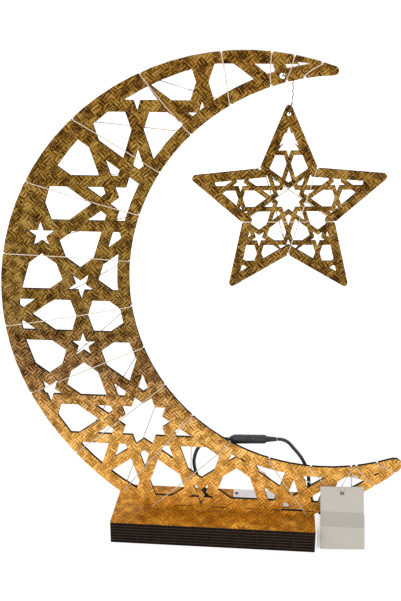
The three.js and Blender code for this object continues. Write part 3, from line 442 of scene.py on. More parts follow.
@dataclass(frozen=True)
class PlatedMetal(Finish):
    """Nickel-plated brass, drawn: bright, with faint lines along the drawing."""

    colour: str = "#c6c4bd"

    def draw(self, tree: bpy.types.NodeTree, place: bpy.types.NodeSocket) -> dict:
        """Draw the finish."""
        drawn = add_node(tree, "Mapping", {"Vector": place, "Scale": (300, 300, 4000)}).outputs[0]
        lines = add_node(tree, "TexNoise", {"Vector": drawn, "Scale": 1.0, "Detail": 2.0}).outputs["Fac"]
        rough = add_node(tree, "MapRange", {"Value": lines, "To Min": 0.2, "To Max": 0.34}).outputs[0]
        return {"Base Color": linear(self.colour), "Metallic": 1.0, "Roughness": rough}


@dataclass(frozen=True)
class ClearFilm(Finish):
    """Extruded nylon or polypropylene strand: water-clear, seen mostly by its edges."""

    def draw(self, tree: bpy.types.NodeTree, place: bpy.types.NodeSocket) -> dict:
        """Draw the finish."""
        haze = add_node(tree, "TexNoise", {"Vector": place, "Scale": 300.0}).outputs["Fac"]
        rough = add_node(tree, "MapRange", {"Value": haze, "To Min": 0.12, "To Max": 0.3}).outputs[0]
        return {"Base Color": linear("#dfe0e4"), "Transmission Weight": 0.55, "Roughness": rough, "IOR": 1.49}


@dataclass(frozen=True)
class UncoatedCard(Finish):
    """Uncoated pulp board: matt, with faint fibres and a slight cloudiness."""

    colour: str
    shade: float = 0.93
    strip: tuple[float, float] | None = None  # heights of a bare, slightly darker band, millimetres

    def draw(self, tree: bpy.types.NodeTree, place: bpy.types.NodeSocket) -> dict:
        """Draw the finish."""
        fibre = add_node(tree, "Mapping", {"Vector": place, "Scale": (700, 700, 2600)}).outputs[0]
        fibre = add_node(tree, "TexNoise", {"Vector": fibre, "Scale": 1.0, "Detail": 3.0}).outputs["Fac"]
        cloud = add_node(tree, "TexNoise", {"Vector": place, "Scale": 45.0, "Detail": 2.0}).outputs["Fac"]
        mixed = add_node(tree, "Mix", {0: 0.5, 2: fibre, 3: cloud}).outputs[0]
        colour = fill_ramp(add_node(tree, "ValToRGB", {"Fac": mixed}), [
            (0.35, scaled(self.colour, self.shade)), (0.65, linear(self.colour))]).outputs["Color"]
        if self.strip:
            low, high = self.strip
            up = add_node(tree, "SeparateXYZ", {0: place}).outputs["Z"]
            inside = add_node(tree, "Math", {0: up, 1: (low + high) / 2 * MM, 2: (high - low) / 2 * MM},
                              operation="COMPARE").outputs[0]
            colour = add_node(tree, "Mix", {0: inside, 6: colour, 7: grey(0.84)}, data_type="RGBA",
                              blend_type="MULTIPLY").outputs[2]
        bump = add_node(tree, "Bump", {"Height": fibre, "Distance": 0.03 * MM, "Strength": 0.5})
        return {"Base Color": colour, "Roughness": 0.9, "Specular IOR Level": 0.2, "Normal": bump.outputs[0]}


# painted light: the one gold foil is drawn lighter near the table, on the lying base too, and darker higher
# up
UPRIGHT_LIT_TONES = ((20.0, "#bb7c1d"), (40.0, "#d6973f"), (95.0, "#d29c4a"), (122.0, "#b3823f"),
                 (150.0, "#876133"), (200.0, "#7b5a22"), (300.0, "#7e5c20"), (411.0, "#7c561b"))
FOILS = {
    "crescent_foil": EmbossedFoil("embossed_gold_foil_crescent", Sheet.STANDING, UPRIGHT_LIT_TONES),
    "star_foil": EmbossedFoil("embossed_gold_foil_star", Sheet.STANDING,
                              ((200.0, "#7b5a22"), (411.0, "#7c561b"))),
    "base_foil": EmbossedFoil("embossed_gold_foil_base", Sheet.LYING, ((0.0, "#b0741b"), (40.0, "#b0741b"))),
}
PLATE_BOARD = LaserCutBoard("laser_cut_fibreboard")
STACK_BOARD = LaserCutBoard("laser_cut_fibreboard_stack", sheet_edges=True)
# pale copper: the wire's colour is lightened to a cream that paints its sheen
COPPER_WITH_PAINTED_SHEEN = LacqueredWire("lacquered_copper_wire_with_painted_sheen", "#dccab6", metallic=0.2)
TIN_WIRE = LacqueredWire("dull_craft_wire", "#6b625a", metallic=0.6, roughness=0.45, coat=0.1)
RESIN = CastResin("lamp_resin")
CHIP = Moulded("lamp_chip", "#d9b23a", roughness=0.5)
PVC = Moulded("black_pvc_sheath", "#141416", roughness=0.42, grain=0.6)
BLACK_MOULDING = Moulded("black_moulded_pvc", "#121214", roughness=0.5, grain=0.35, relief=0.03)
PLATING = PlatedMetal("nickel_plating")
CLEAR = ClearFilm("clear_strand")
TAG_CARD = UncoatedCard("grey_tag_card", "#b9b3aa", strip=(19.3, 31.9))
WHITE_CARD = UncoatedCard("white_tag_card", "#e9e6e6")


@dataclass
class Dresser:
    """Gives pieces their finishes; each finish's material is built once."""

    built: dict[str, bpy.types.Material] = field(default_factory=dict)

    def dress(self, piece: bpy.types.Object, finish: Finish) -> None:
        """Put a finish on a piece.

        Args:
            piece: an object with a mesh.
            finish: the finish.
        """
        if finish.name not in self.built:
            self.built[finish.name] = finish.build()
        piece.data.materials.clear()
        piece.data.materials.append(self.built[finish.name])

    def dress_nodes(self, finish: Finish, *names: str) -> None:
        """Put a finish on CAD nodes that stay in view.

        Args:
            finish: the finish.
            *names: the nodes' names.
        """
        for name in names:
            self.dress(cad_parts[name], finish)
            LOG.info("dressed %s", name)


# Shapes


def finish_mesh(name: str, bm: bmesh.types.BMesh, smooth: bool = True) -> bpy.types.Object:
    """Turn a bmesh into an object at the origin.

    Args:
        name: the piece's name.
        bm: its mesh, in metres, in place.
        smooth: whether faces shade smoothly, except over sharp edges.

    Returns:
        The object.
    """
    bmesh.ops.remove_doubles(bm, verts=bm.verts, dist=1e-7)
    bmesh.ops.recalc_face_normals(bm, faces=bm.faces)
    for face in bm.faces:
        face.smooth = smooth
    for edge in bm.edges:
        edge.smooth = not (len(edge.link_faces) == 2 and edge.calc_face_angle(0) > SHARP)
    mesh = bpy.data.meshes.new(name)
    bm.to_mesh(mesh)
    bm.free()
    piece = bpy.data.objects.new(name, mesh)
    bpy.context.scene.collection.objects.link(piece)
    return piece


def smooth_route(points: list[Point], step: float) -> list[Vector]:
    """Run a centripetal Catmull-Rom curve through given points.

    Args:
        points: the route, in millimetres.
        step: the spacing wanted along it, in millimetres.

    Returns:
        Points along the curve, in millimetres.
    """
    knots = [Vector(p) for p in points]
    knots = [2 * knots[0] - knots[1], *knots, 2 * knots[-1] - knots[-2]]
    route = []
    for a, b, c, d in zip(knots, knots[1:], knots[2:], knots[3:]):
        t1 = max((b - a).length, 1e-4) ** 0.5
        t2 = t1 + (c - b).length ** 0.5
        t3 = t2 + max((d - c).length, 1e-4) ** 0.5
        count = max(1, round((c - b).length / step))
        for i in range(count):
            t = t1 + (t2 - t1) * i / count
            ab = a.lerp(b, t / t1)
            bc = b.lerp(c, (t - t1) / (t2 - t1))
            cd = c.lerp(d, (t - t2) / (t3 - t2))
            route.append(ab.lerp(bc, t / t2).lerp(bc.lerp(cd, (t - t1) / (t3 - t1)), (t - t1) / (t2 - t1)))
    return route + [knots[-2]]


def tube(name: str, points: list[Vector], radius: float, sides: int) -> bpy.types.Object:
    """Sweep a round section along a route, with closed ends that are a little rounded.

    Args:
        name: the piece's name.
        points: the route, in millimetres.
        radius: the section's radius, in millimetres.
        sides: how many sides the section has.

    Returns:
        The object.
    """
    bm = bmesh.new()
    add_tube(bm, points, radius, sides)
    return finish_mesh(name, bm)


def add_tube(bm: bmesh.types.BMesh, points: list[Vector], radius: float, sides: int) -> None:
    """Add a swept tube to a mesh: rings of a circle, bridged one to the next, with rounded closed ends.

    Args:
        bm: the mesh to add to.
        points: the route, in millimetres.
        radius: the section's radius, in millimetres.
        sides: how many sides the section has.
    """
    route = [Vector(p) for p in points]
    nose, tip = radius * 0.4, radius * 0.75  # how long a rounded end is, and its radius at the tip
    sizes = [tip, *[radius] * len(route), tip]
    first = route[0] + (route[1] - route[0]).normalized() * nose
    last = route[-1] + (route[-2] - route[-1]).normalized() * nose
    route = [route[0], first, *route[1:-1], last, route[-1]]
    slight = 0.02  # a bend too small to stretch the section for, radians
    across = Vector((0.31, 0.53, 0.79))  # along no route
    rings = []
    for i, (centre, size) in enumerate(zip(route, sizes)):
        before = (centre - route[i - 1]).normalized() if i else Vector()
        after = (route[i + 1] - centre).normalized() if i + 1 < len(route) else Vector()
        tangent = (before + after).normalized()
        across = (across - tangent * across.dot(tangent)).normalized()
        up = tangent.cross(across)
        # The section is stretched in a bend, so that the tube keeps its thickness.
        bend = before.angle(after) if before.length and after.length else 0.0
        inward = (after - before).normalized() if bend > slight else Vector()
        ring = []
        for k in range(sides):
            turn = 2 * math.pi * k / sides
            way = across * math.cos(turn) + up * math.sin(turn)
            if bend > slight:
                way += inward * way.dot(inward) * (1 / math.cos(min(bend, 1.6) / 2) - 1)
            ring.append(bm.verts.new((centre + way * size) * MM))
        rings.append(ring)
    for lower, upper in zip(rings, rings[1:]):
        for k in range(sides):
            bm.faces.new((lower[k], lower[(k + 1) % sides], upper[(k + 1) % sides], upper[k]))
    bm.faces.new(rings[0][::-1])
    bm.faces.new(rings[-1])


def turned(name: str, profile: list[tuple[float, float]], place: Matrix) -> bpy.types.Object:
    """Spin a profile round a turned part's axis.

    Args:
        name: the piece's name.
        profile: radius and distance along the axis, in millimetres, from the axis back to it.
        place: puts the axis, local +X, in place; millimetres.

    Returns:
        The object.
    """
    bm = bmesh.new()
    verts = [bm.verts.new((along, radius, 0)) for radius, along in profile]
    for pair in zip(verts, verts[1:]):
        bm.edges.new(pair)
    bmesh.ops.spin(bm, geom=bm.verts[:] + bm.edges[:], axis=(1, 0, 0), cent=(0, 0, 0), angle=2 * math.pi,
                   steps=40, use_merge=True, use_normal_flip=False, use_duplicate=False)
    bmesh.ops.remove_doubles(bm, verts=bm.verts, dist=1e-5)
    bmesh.ops.transform(bm, matrix=Matrix.Scale(MM, 4) @ place, verts=bm.verts)
    return finish_mesh(name, bm)


def settle(piece: bpy.types.Object, body: Body,
           replaced: tuple[str, ...] = ()) -> bpy.types.Object:
    """Fix a new piece to its body.

    Args:
        piece: the new piece.
        body: the body it moves with.
        replaced: CAD nodes that it stands for.

    Returns:
        The piece.
    """
    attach(piece, body.value)
    if replaced:
        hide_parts(*replaced)
    LOG.info("built %s", piece.name)
    return piece


# Camera and light


@dataclass
class Studio:
    """The camera at the photograph's place, a pale floor and plain soft light."""

    eye: Point = (42.49, -664.92, 440.9)
    yaw: float = 4.75
    pitch: float = -18.84
    roll: float = 0.11
    lens: float = 34.45
    frame_height: float = 24.0

    def place_camera(self) -> None:
        """Make the camera."""
        data = bpy.data.cameras.new("camera")
        data.sensor_fit = "VERTICAL"
        data.sensor_height = self.frame_height
        data.lens = self.lens
        data.clip_start = 0.01
        camera = bpy.data.objects.new("camera", data)
        turn = (Matrix.Rotation(math.radians(self.yaw), 4, "Z")
                @ Matrix.Rotation(math.radians(90 + self.pitch), 4, "X")
                @ Matrix.Rotation(math.radians(self.roll), 4, "Z"))
        camera.matrix_world = Matrix.Translation(Vector(self.eye) * MM) @ turn
        bpy.context.scene.collection.objects.link(camera)
        bpy.context.scene.camera = camera

    @staticmethod
    def background_share(tree: bpy.types.NodeTree) -> bpy.types.NodeSocket:
        """Tell the rays that show the background from those that light the object.

        Args:
            tree: the floor's or the world's node tree.

        Returns:
            1 for camera, glossy and transmission rays, 0 for the rest.
        """
        path = add_node(tree, "LightPath").outputs
        share = path["Is Camera Ray"]
        for kind in ("Is Glossy Ray", "Is Transmission Ray"):
            share = add_node(tree, "Math", {0: share, 1: path[kind]}, operation="MAXIMUM").outputs[0]
        return share

    def place_floor(self) -> None:
        """Make the pale floor, which keeps the object's shadow."""
        bm = bmesh.new()
        bmesh.ops.create_grid(bm, x_segments=1, y_segments=1, size=6.0)
        floor = finish_mesh("floor", bm, smooth=False)
        material, tree, shader = new_material("pale_paper_floor")
        feed(tree, shader, {"Base Color": linear("#f4f4f3"), "Roughness": 0.95})
        seen = add_node(
            tree, "Math", {0: self.background_share(tree), 1: 0.7}, operation="MULTIPLY").outputs[0]
        place = add_node(tree, "TexCoord").outputs["Object"]
        far = add_node(tree, "VectorMath", {0: place}, operation="LENGTH").outputs["Value"]
        # The floor whitens out a metre away, so that no horizon shows.
        strength = add_node(tree, "MapRange", {
            "Value": far, "From Min": 0.35, "From Max": 1.1, "To Min": 1.14, "To Max": 1.6}).outputs[0]
        glow = add_node(tree, "Emission", {"Color": grey(1.0), "Strength": strength}).outputs[0]
        mixed = add_node(tree, "MixShader", {0: seen, 1: shader.outputs[0], 2: glow}).outputs[0]
        tree.links.new(mixed, tree.nodes["Material Output"].inputs["Surface"])
        floor.data.materials.append(material)

    def place_light(self) -> None:
        """Make the world and the lamps."""
        world = bpy.data.worlds.new("studio")
        world.use_nodes = True
        tree = world.node_tree
        strength = add_node(tree, "MapRange", {
            "Value": self.background_share(tree), "To Min": 0.62, "To Max": 1.0}).outputs[0]
        feed(tree, tree.nodes["Background"], {"Color": grey(1.0), "Strength": strength})
        bpy.context.scene.world = world
        lamps = (("key", (-0.7, -1.1, 1.3), 14.0, 1.0), ("fill", (1.0, -0.9, 0.7), 6.0, 1.2),
                 ("rim", (0.2, 1.1, 1.2), 8.0, 1.0))
        for name, place, power, size in lamps:
            data = bpy.data.lights.new(name, "AREA")
            data.shape = "SQUARE"
            data.size = size
            data.energy = power
            lamp = bpy.data.objects.new(name, data)
            aim = (Vector((0.02, 0, 0.2)) - Vector(place)).to_track_quat("-Z", "Y")
            lamp.matrix_world = Matrix.Translation(place) @ aim.to_matrix().to_4x4()
            bpy.context.scene.collection.objects.link(lamp)
        bpy.context.scene.view_settings.view_transform = "Standard"


# Crescent's edges, which the light wire follows


@dataclass
class CrescentEdge:
    """The crescent's two edges, in the plane of the plate; millimetres and degrees."""

    outer_radius: float = 198.0
    outer_offset: float = 21.34
    outer_lift: float = 193.03
    inner_radius: float = 162.55
    distance: float = 73.27
    tilt: float = 14.22
    feet: tuple[float, float] = (-59.05, 83.7)
    flare_starts: tuple[float, float] = (208.0, 304.0)
    notch_depth: float = 1.6

    def __post_init__(self) -> None:
        """Work out the centres and the flares of the foot."""
        self.outer = Vector((self.outer_offset, BASE_TOP + self.outer_lift))
        self.inner = self.outer + self.distance * self.way(self.tilt)
        self.shoulder = BASE_TOP + GAP
        self.flares = [self.flare(start, foot) for start, foot in zip(self.flare_starts, self.feet)]
        drop = self.shoulder - self.outer.y
        self.foot_angles = [math.degrees(math.atan2(drop, foot - self.outer.x)) % 360 for foot in self.feet]

    @staticmethod
    def way(degrees: float) -> Vector:
        """Give the unit direction at an angle."""
        return Vector((math.cos(math.radians(degrees)), math.sin(math.radians(degrees))))

    def flare(self, start: float, foot: float) -> tuple[Vector, float]:
        """Fit the arc that widens the foot.

        Args:
            start: where it leaves the outer circle, degrees.
            foot: where it meets the base, along X.

        Returns:
            The arc's centre and radius.
        """
        normal = self.way(start)
        origin = self.outer + self.outer_radius * normal
        chord = Vector((foot, self.shoulder)) - origin
        radius = chord.length_squared / (-2 * chord.dot(normal))
        return origin - radius * normal, radius

    def outer_point(self, degrees: float) -> Vector:
        """Find the outer edge at an angle about the outer centre.

        Args:
            degrees: the angle.

        Returns:
            The point on the edge.
        """
        way = self.way(degrees)
        left, right = self.foot_angles
        if left < degrees < right:
            return self.outer + way * ((self.shoulder - self.outer.y) / way.y)
        if degrees <= self.flare_starts[0] or degrees >= self.flare_starts[1]:
            return self.outer + way * self.outer_radius
        centre, radius = self.flares[0 if degrees <= left else 1]
        offset = centre - self.outer
        half = way.dot(offset)
        return self.outer + way * (half + math.sqrt(half ** 2 - offset.length_squared + radius ** 2))

    def outer_normal(self, degrees: float) -> Vector:
        """Give the outer edge's outward normal at an angle."""
        run = (self.outer_point(degrees + 0.1) - self.outer_point(degrees - 0.1)).normalized()
        return Vector((run.y, -run.x))

    def inner_point(self, degrees: float) -> Vector:
        """Give the inner edge's point at an angle about the inner centre."""
        return self.inner + self.inner_radius * self.way(degrees)

    def over_edge(self, point: Vector, normal: Vector) -> list[Vector]:
        """Lead a wire over an edge, through a notch, from front to back.

        Args:
            point: the edge's point at the notch.
            normal: the edge's outward normal.

        Returns:
            Points in millimetres, the first in front.
        """
        foot = point - self.notch_depth * normal
        off, corner = STRING_OFF, STRING_OFF * math.sqrt(0.5)
        places = ((-0.3, PLATE_FACE - off), (corner * 0.7, PLATE_FACE - corner), (off, PLATE_FACE),
                  (off, PLATE_BACK), (corner * 0.7, PLATE_BACK + corner), (-0.3, PLATE_BACK + off))
        return [Vector((foot.x + out * normal.x, y, foot.y + out * normal.y)) for out, y in places]


@dataclass
class StringLight:
    """A pair of lacquered wires with resin lamps, wound over notched edges."""

    dresser: Dresser
    strand: float = 0.2  # radius of one wire
    spread: float = 0.2  # half the distance between the two wires
    lamp: tuple[float, float] = (0.9, 1.6)  # a lamp's radius and half length
    chip: tuple[float, float] = (0.45, 0.7)

    def build(self, name: str, route: list[Vector], lamps: list[tuple[Vector, Vector]], body: Body,
              replaced: str) -> None:
        """Build the two wires, the resin drops and the chips inside them.

        Args:
            name: the string's name.
            route: the pair's middle line, millimetres.
            lamps: each lamp's middle and the wire's direction there.
            body: the body that carries it.
            replaced: the CAD node it stands for.
        """
        bm = bmesh.new()
        for side in (-1, 1):
            add_tube(bm, self.beside(route, side * self.spread), self.strand, 8)
        wires = settle(finish_mesh(f"{name}_wires", bm), body, (replaced,))
        self.dresser.dress(wires, COPPER_WITH_PAINTED_SHEEN)
        for part, finish, size, segments in (("resin", RESIN, self.lamp, 16), ("chips", CHIP, self.chip, 8)):
            bm = bmesh.new()
            for middle, way in lamps:
                turn = way.to_track_quat("Z", "Y").to_matrix().to_4x4()
                stretch = Matrix.Diagonal((size[0], size[0], size[1], 1))
                place = Matrix.Scale(MM, 4) @ Matrix.Translation(middle) @ turn @ stretch
                bmesh.ops.create_uvsphere(
                    bm, u_segments=segments, v_segments=max(6, segments * 5 // 8), radius=1.0, matrix=place)
            piece = settle(finish_mesh(f"{name}_{part}", bm), body)
            self.dresser.dress(piece, finish)

    @staticmethod
    def beside(route: list[Vector], shift: float) -> list[Vector]:
        """Shift a route sideways, square to it and along the surface that it crosses.

        Args:
            route: the points.
            shift: how far, in their unit.

        Returns:
            The shifted points.
        """
        moved = []
        for i, point in enumerate(route):
            run = route[min(i + 1, len(route) - 1)] - route[max(i - 1, 0)]
            before = (point - route[i - 1]).normalized() if i else run.normalized()
            after = (route[i + 1] - point).normalized() if i + 1 < len(route) else run.normalized()
            flat = Vector((before.x + after.x, 0, before.z + after.z))
            if flat.length < 0.2:
                flat = Vector((run.x, 0, run.z))
            side = Vector((-flat.z, 0, flat.x)).normalized()
            moved.append(point + side * shift)
        return moved


@dataclass
class MoonLights:
    """The string wound round the crescent, in two lengths that meet in the splice sleeve."""

    dresser: Dresser
    edge: CrescentEdge
    upper: tuple[tuple[float, float], ...] = (
        (73.6, 99.8), (79.7, 104.5), (84.6, 108.7), (95.4, 120.4), (113.7, 133.6), (132, 147.1),
        (150.3, 160.5), (168.7, 174.2), (187, 187.8), (205.4, 200.8), (224.6, 214.1), (240, 226.9))
    lower: tuple[tuple[float, float], ...] = (
        (248.3, 241), (287.1, 254), (296, 266.7), (306, 280.3), (312, 286.4))
    sag: float = 0.5  # a hand-wound pass bows a little along the plate
    lamp_at: float = 0.45

    def turns(self, stations: tuple[tuple[float, float], ...]
              ) -> tuple[list[Vector], list[tuple[Vector, Vector]]]:
        """Wind the turns.

        Args:
            stations: outer and inner angle of each turn.

        Returns:
            The route, and each lamp's middle and direction.
        """
        route: list[Vector] = []
        lamps = []
        for index, (outer, inner) in enumerate(stations):
            over = self.edge.over_edge(self.edge.outer_point(outer), self.edge.outer_normal(outer))[::-1]
            into = self.edge.over_edge(self.edge.inner_point(inner), -self.edge.way(inner))
            if route:
                start, stop = route[-1], over[0]
                way = (stop - start).normalized()
                middle = start.lerp(stop, self.lamp_at) + Vector((0, LAMP_OUT, 0))
                lamps.append((middle, way))
                route += self.bowed(start, stop, index, 0.0) + [middle]
                route += self.bowed(middle, stop, index + 1, 0.0)
            route += over
            route += self.bowed(over[-1], into[0], index, self.sag)
            route += into
        return route, lamps

    @staticmethod
    def bowed(start: Vector, stop: Vector, index: int, sag: float) -> list[Vector]:
        """Give three points between two, bowed a little sideways.

        Args:
            start: one end.
            stop: the other end.
            index: which pass it is; every other one bows the other way.
            sag: how far the middle bows, millimetres.

        Returns:
            The points between.
        """
        flat = (stop - start)
        side = Vector((-flat.z, 0, flat.x)).normalized() * sag * (1 if index % 2 else -1.4)
        return [start.lerp(stop, share) + side * math.sin(math.pi * share) for share in (0.2, 0.5, 0.8)]

    def build(self, sleeve_foot: Vector, sleeve_way: Vector) -> None:
        """Build both lengths.

        Args:
            sleeve_foot: middle of the splice sleeve's lower end, millimetres.
            sleeve_way: the sleeve's direction.
        """
        light = StringLight(self.dresser)
        back = PLATE_BACK + STRING_OFF

        def below(side: float, drop: float) -> Vector:
            return sleeve_foot - sleeve_way * drop + Vector((side, 0, 0))

        route, lamps = self.turns(self.upper)
        tail = route[0] + Vector((0, 0, -7))
        route = [tail, *route, Vector((-20.5, back, 62)), Vector((-18.5, back, 36)),
                 Vector((-13.5, -2.4, 27.6)), Vector((-8.6, -1, 25.4)), below(-0.8, 3.4), below(-0.8, 0.1)]
        light.build("moon_string_upper", route, lamps, Body.STAND, "moon_light_wire_upper")
        route, lamps = self.turns(self.lower)
        head = [below(0.8, 0.1), below(0.8, 3.4), Vector((-6, -1, 23.9)), Vector((-12, -2.4, 23.2)),
                Vector((-30, back, 22.6))]
        tail = route[-1] + Vector((-1, 0, -3.5))
        light.build("moon_string_lower", [*head, *route, tail], lamps, Body.STAND, "moon_light_wire_lower")


@dataclass
class Star:
    """The hanging star: its light string runs from corner to corner."""

    dresser: Dresser
    edge: CrescentEdge
    tip: float = 82.0
    notch: float = 37.7
    turn: float = 1.6
    eyelet_inset: float = 10.9
    exit_angle: float = 102.82
    drop: tuple[float, float] = (-2.35, -24.55)
    lift: float = 1.35  # where two passes cross

    def __post_init__(self) -> None:
        """Work out the star's place from where its hanger leaves the crescent."""
        self.exit = self.edge.inner_point(self.exit_angle)
        self.eyelet = self.exit + Vector(self.drop)
        self.centre = self.eyelet + (self.eyelet_inset - self.tip) * self.edge.way(90 + self.turn)
        self.arms = [angle + self.turn for angle in (90, 162, 234, 306, 18)]

    def corner(self, index: int) -> list[Vector]:
        """Lead the wire over the star's corner between two arms, from front to back."""
        normal = self.edge.way(self.arms[index % 5] + 36)
        return self.edge.over_edge(self.centre + self.notch * normal, normal)

    def build(self) -> None:
        """Build the star's string and dress its plate."""
        self.dresser.dress_nodes(PLATE_BOARD, "star_panel")
        self.dresser.dress_nodes(FOILS["star_foil"], "star_foil")
        first = self.corner(0)[-1]
        route = [first + Vector((-2, 0, -3.5)), first]
        lamps = []
        for end, side, lifted in ((3, 1, False), (1, -1, False), (4, 1, True), (2, -1, True), (0, 1, False)):
            start = route[-1]
            over = self.corner(end)[::-1] if side > 0 else self.corner(end)
            stop = over[0]
            out = Vector((0, side * self.lift, 0))
            if lifted:
                route += [start.lerp(stop, share) + out for share in (0.14, 0.5, 0.86)]
            elif side > 0:
                middle = start.lerp(stop, 0.2) + Vector((0, LAMP_OUT, 0))
                lamps.append((middle, (stop - start).normalized()))
                route.append(middle)
            route += over if end else [stop + Vector((3.4, 0, -3.4))]
        StringLight(self.dresser).build("star_string", route, lamps, Body.STAR, "star_light_wire")


@dataclass
class Hanger:
    """Thin wire that carries the star: its end through the horn's hole, a twisted length and a ring."""

    dresser: Dresser
    star: Star
    wire: float = 0.36
    hole_angle: float = 81.5
    hole_depth: float = 16.3
    ring_radius: float = 4.8
    ring_lean: float = 13.0
    twist_radius: float = 0.42
    twist_pitch: float = 5.0

    def build(self) -> None:
        """Build the anchor, the twisted wire and the ring."""
        edge = self.star.edge
        hole = edge.outer + (edge.outer_radius - self.hole_depth) * edge.way(self.hole_angle)
        behind = PLATE_BACK + GAP + self.wire
        outside = PLATE_BACK + 2 * STRING_OFF + GAP + self.wire
        leave = self.star.exit
        anchor = [(hole.x, PLATE_FACE - 1.1, hole.y - 0.6), (hole.x, PLATE_FACE - 0.5, hole.y),
                  (hole.x, PLATE_BACK, hole.y), (hole.x + 0.1, outside, hole.y + 0.1),
                  (hole.x + 3, outside, hole.y), (leave.x - 1.2, behind + 0.3, leave.y + 3.4),
                  (leave.x, behind, leave.y + 2.2), (leave.x, behind, leave.y + GAP)]
        self.finish(
            tube("hanger_anchor_wire", smooth_route(anchor, 0.5), self.wire, 12), Body.STAND, "hanger_anchor")
        lean = edge.way(90 - self.ring_lean)
        centre = self.star.eyelet + self.ring_radius * lean
        bm = bmesh.new()
        circle = []
        for i in range(40):
            turn = 2 * math.pi * i / 40 - math.pi / 2 + 0.08
            along, across = self.ring_radius * math.sin(turn), self.ring_radius * math.cos(turn)
            circle.append(Vector((centre.x - along * lean.x, PLATE_MIDDLE + across,
                                  centre.y - along * lean.y)))
        add_tube(bm, circle, self.wire, 12)
        self.finish(finish_mesh("hanger_ring_wire", bm), Body.RING, "hanger_ring")
        top = Vector((leave.x, behind, leave.y - GAP))
        reach = self.ring_radius + self.wire + GAP
        foot = Vector((centre.x + reach * lean.x, PLATE_MIDDLE, centre.y + reach * lean.y))
        way = foot - top
        steps = math.ceil(way.length / self.twist_pitch * 16)
        twisted = []
        for i in range(steps + 1):
            share = i / steps
            swell = self.twist_radius * min(1, 6 * share, 6 * (1 - share))
            turn = 2 * math.pi * share * way.length / self.twist_pitch
            twisted.append(top + way * share + Vector((swell * math.cos(turn), swell * math.sin(turn), 0)))
        self.finish(tube("hanger_twisted_wire", twisted, self.wire, 12), Body.HANGER, "hanger_wire")

    def finish(self, piece: bpy.types.Object, body: Body, node: str) -> None:
        """Dress a wire piece and fix it to its body."""
        self.dresser.dress(settle(piece, body, (node,)), TIN_WIRE)


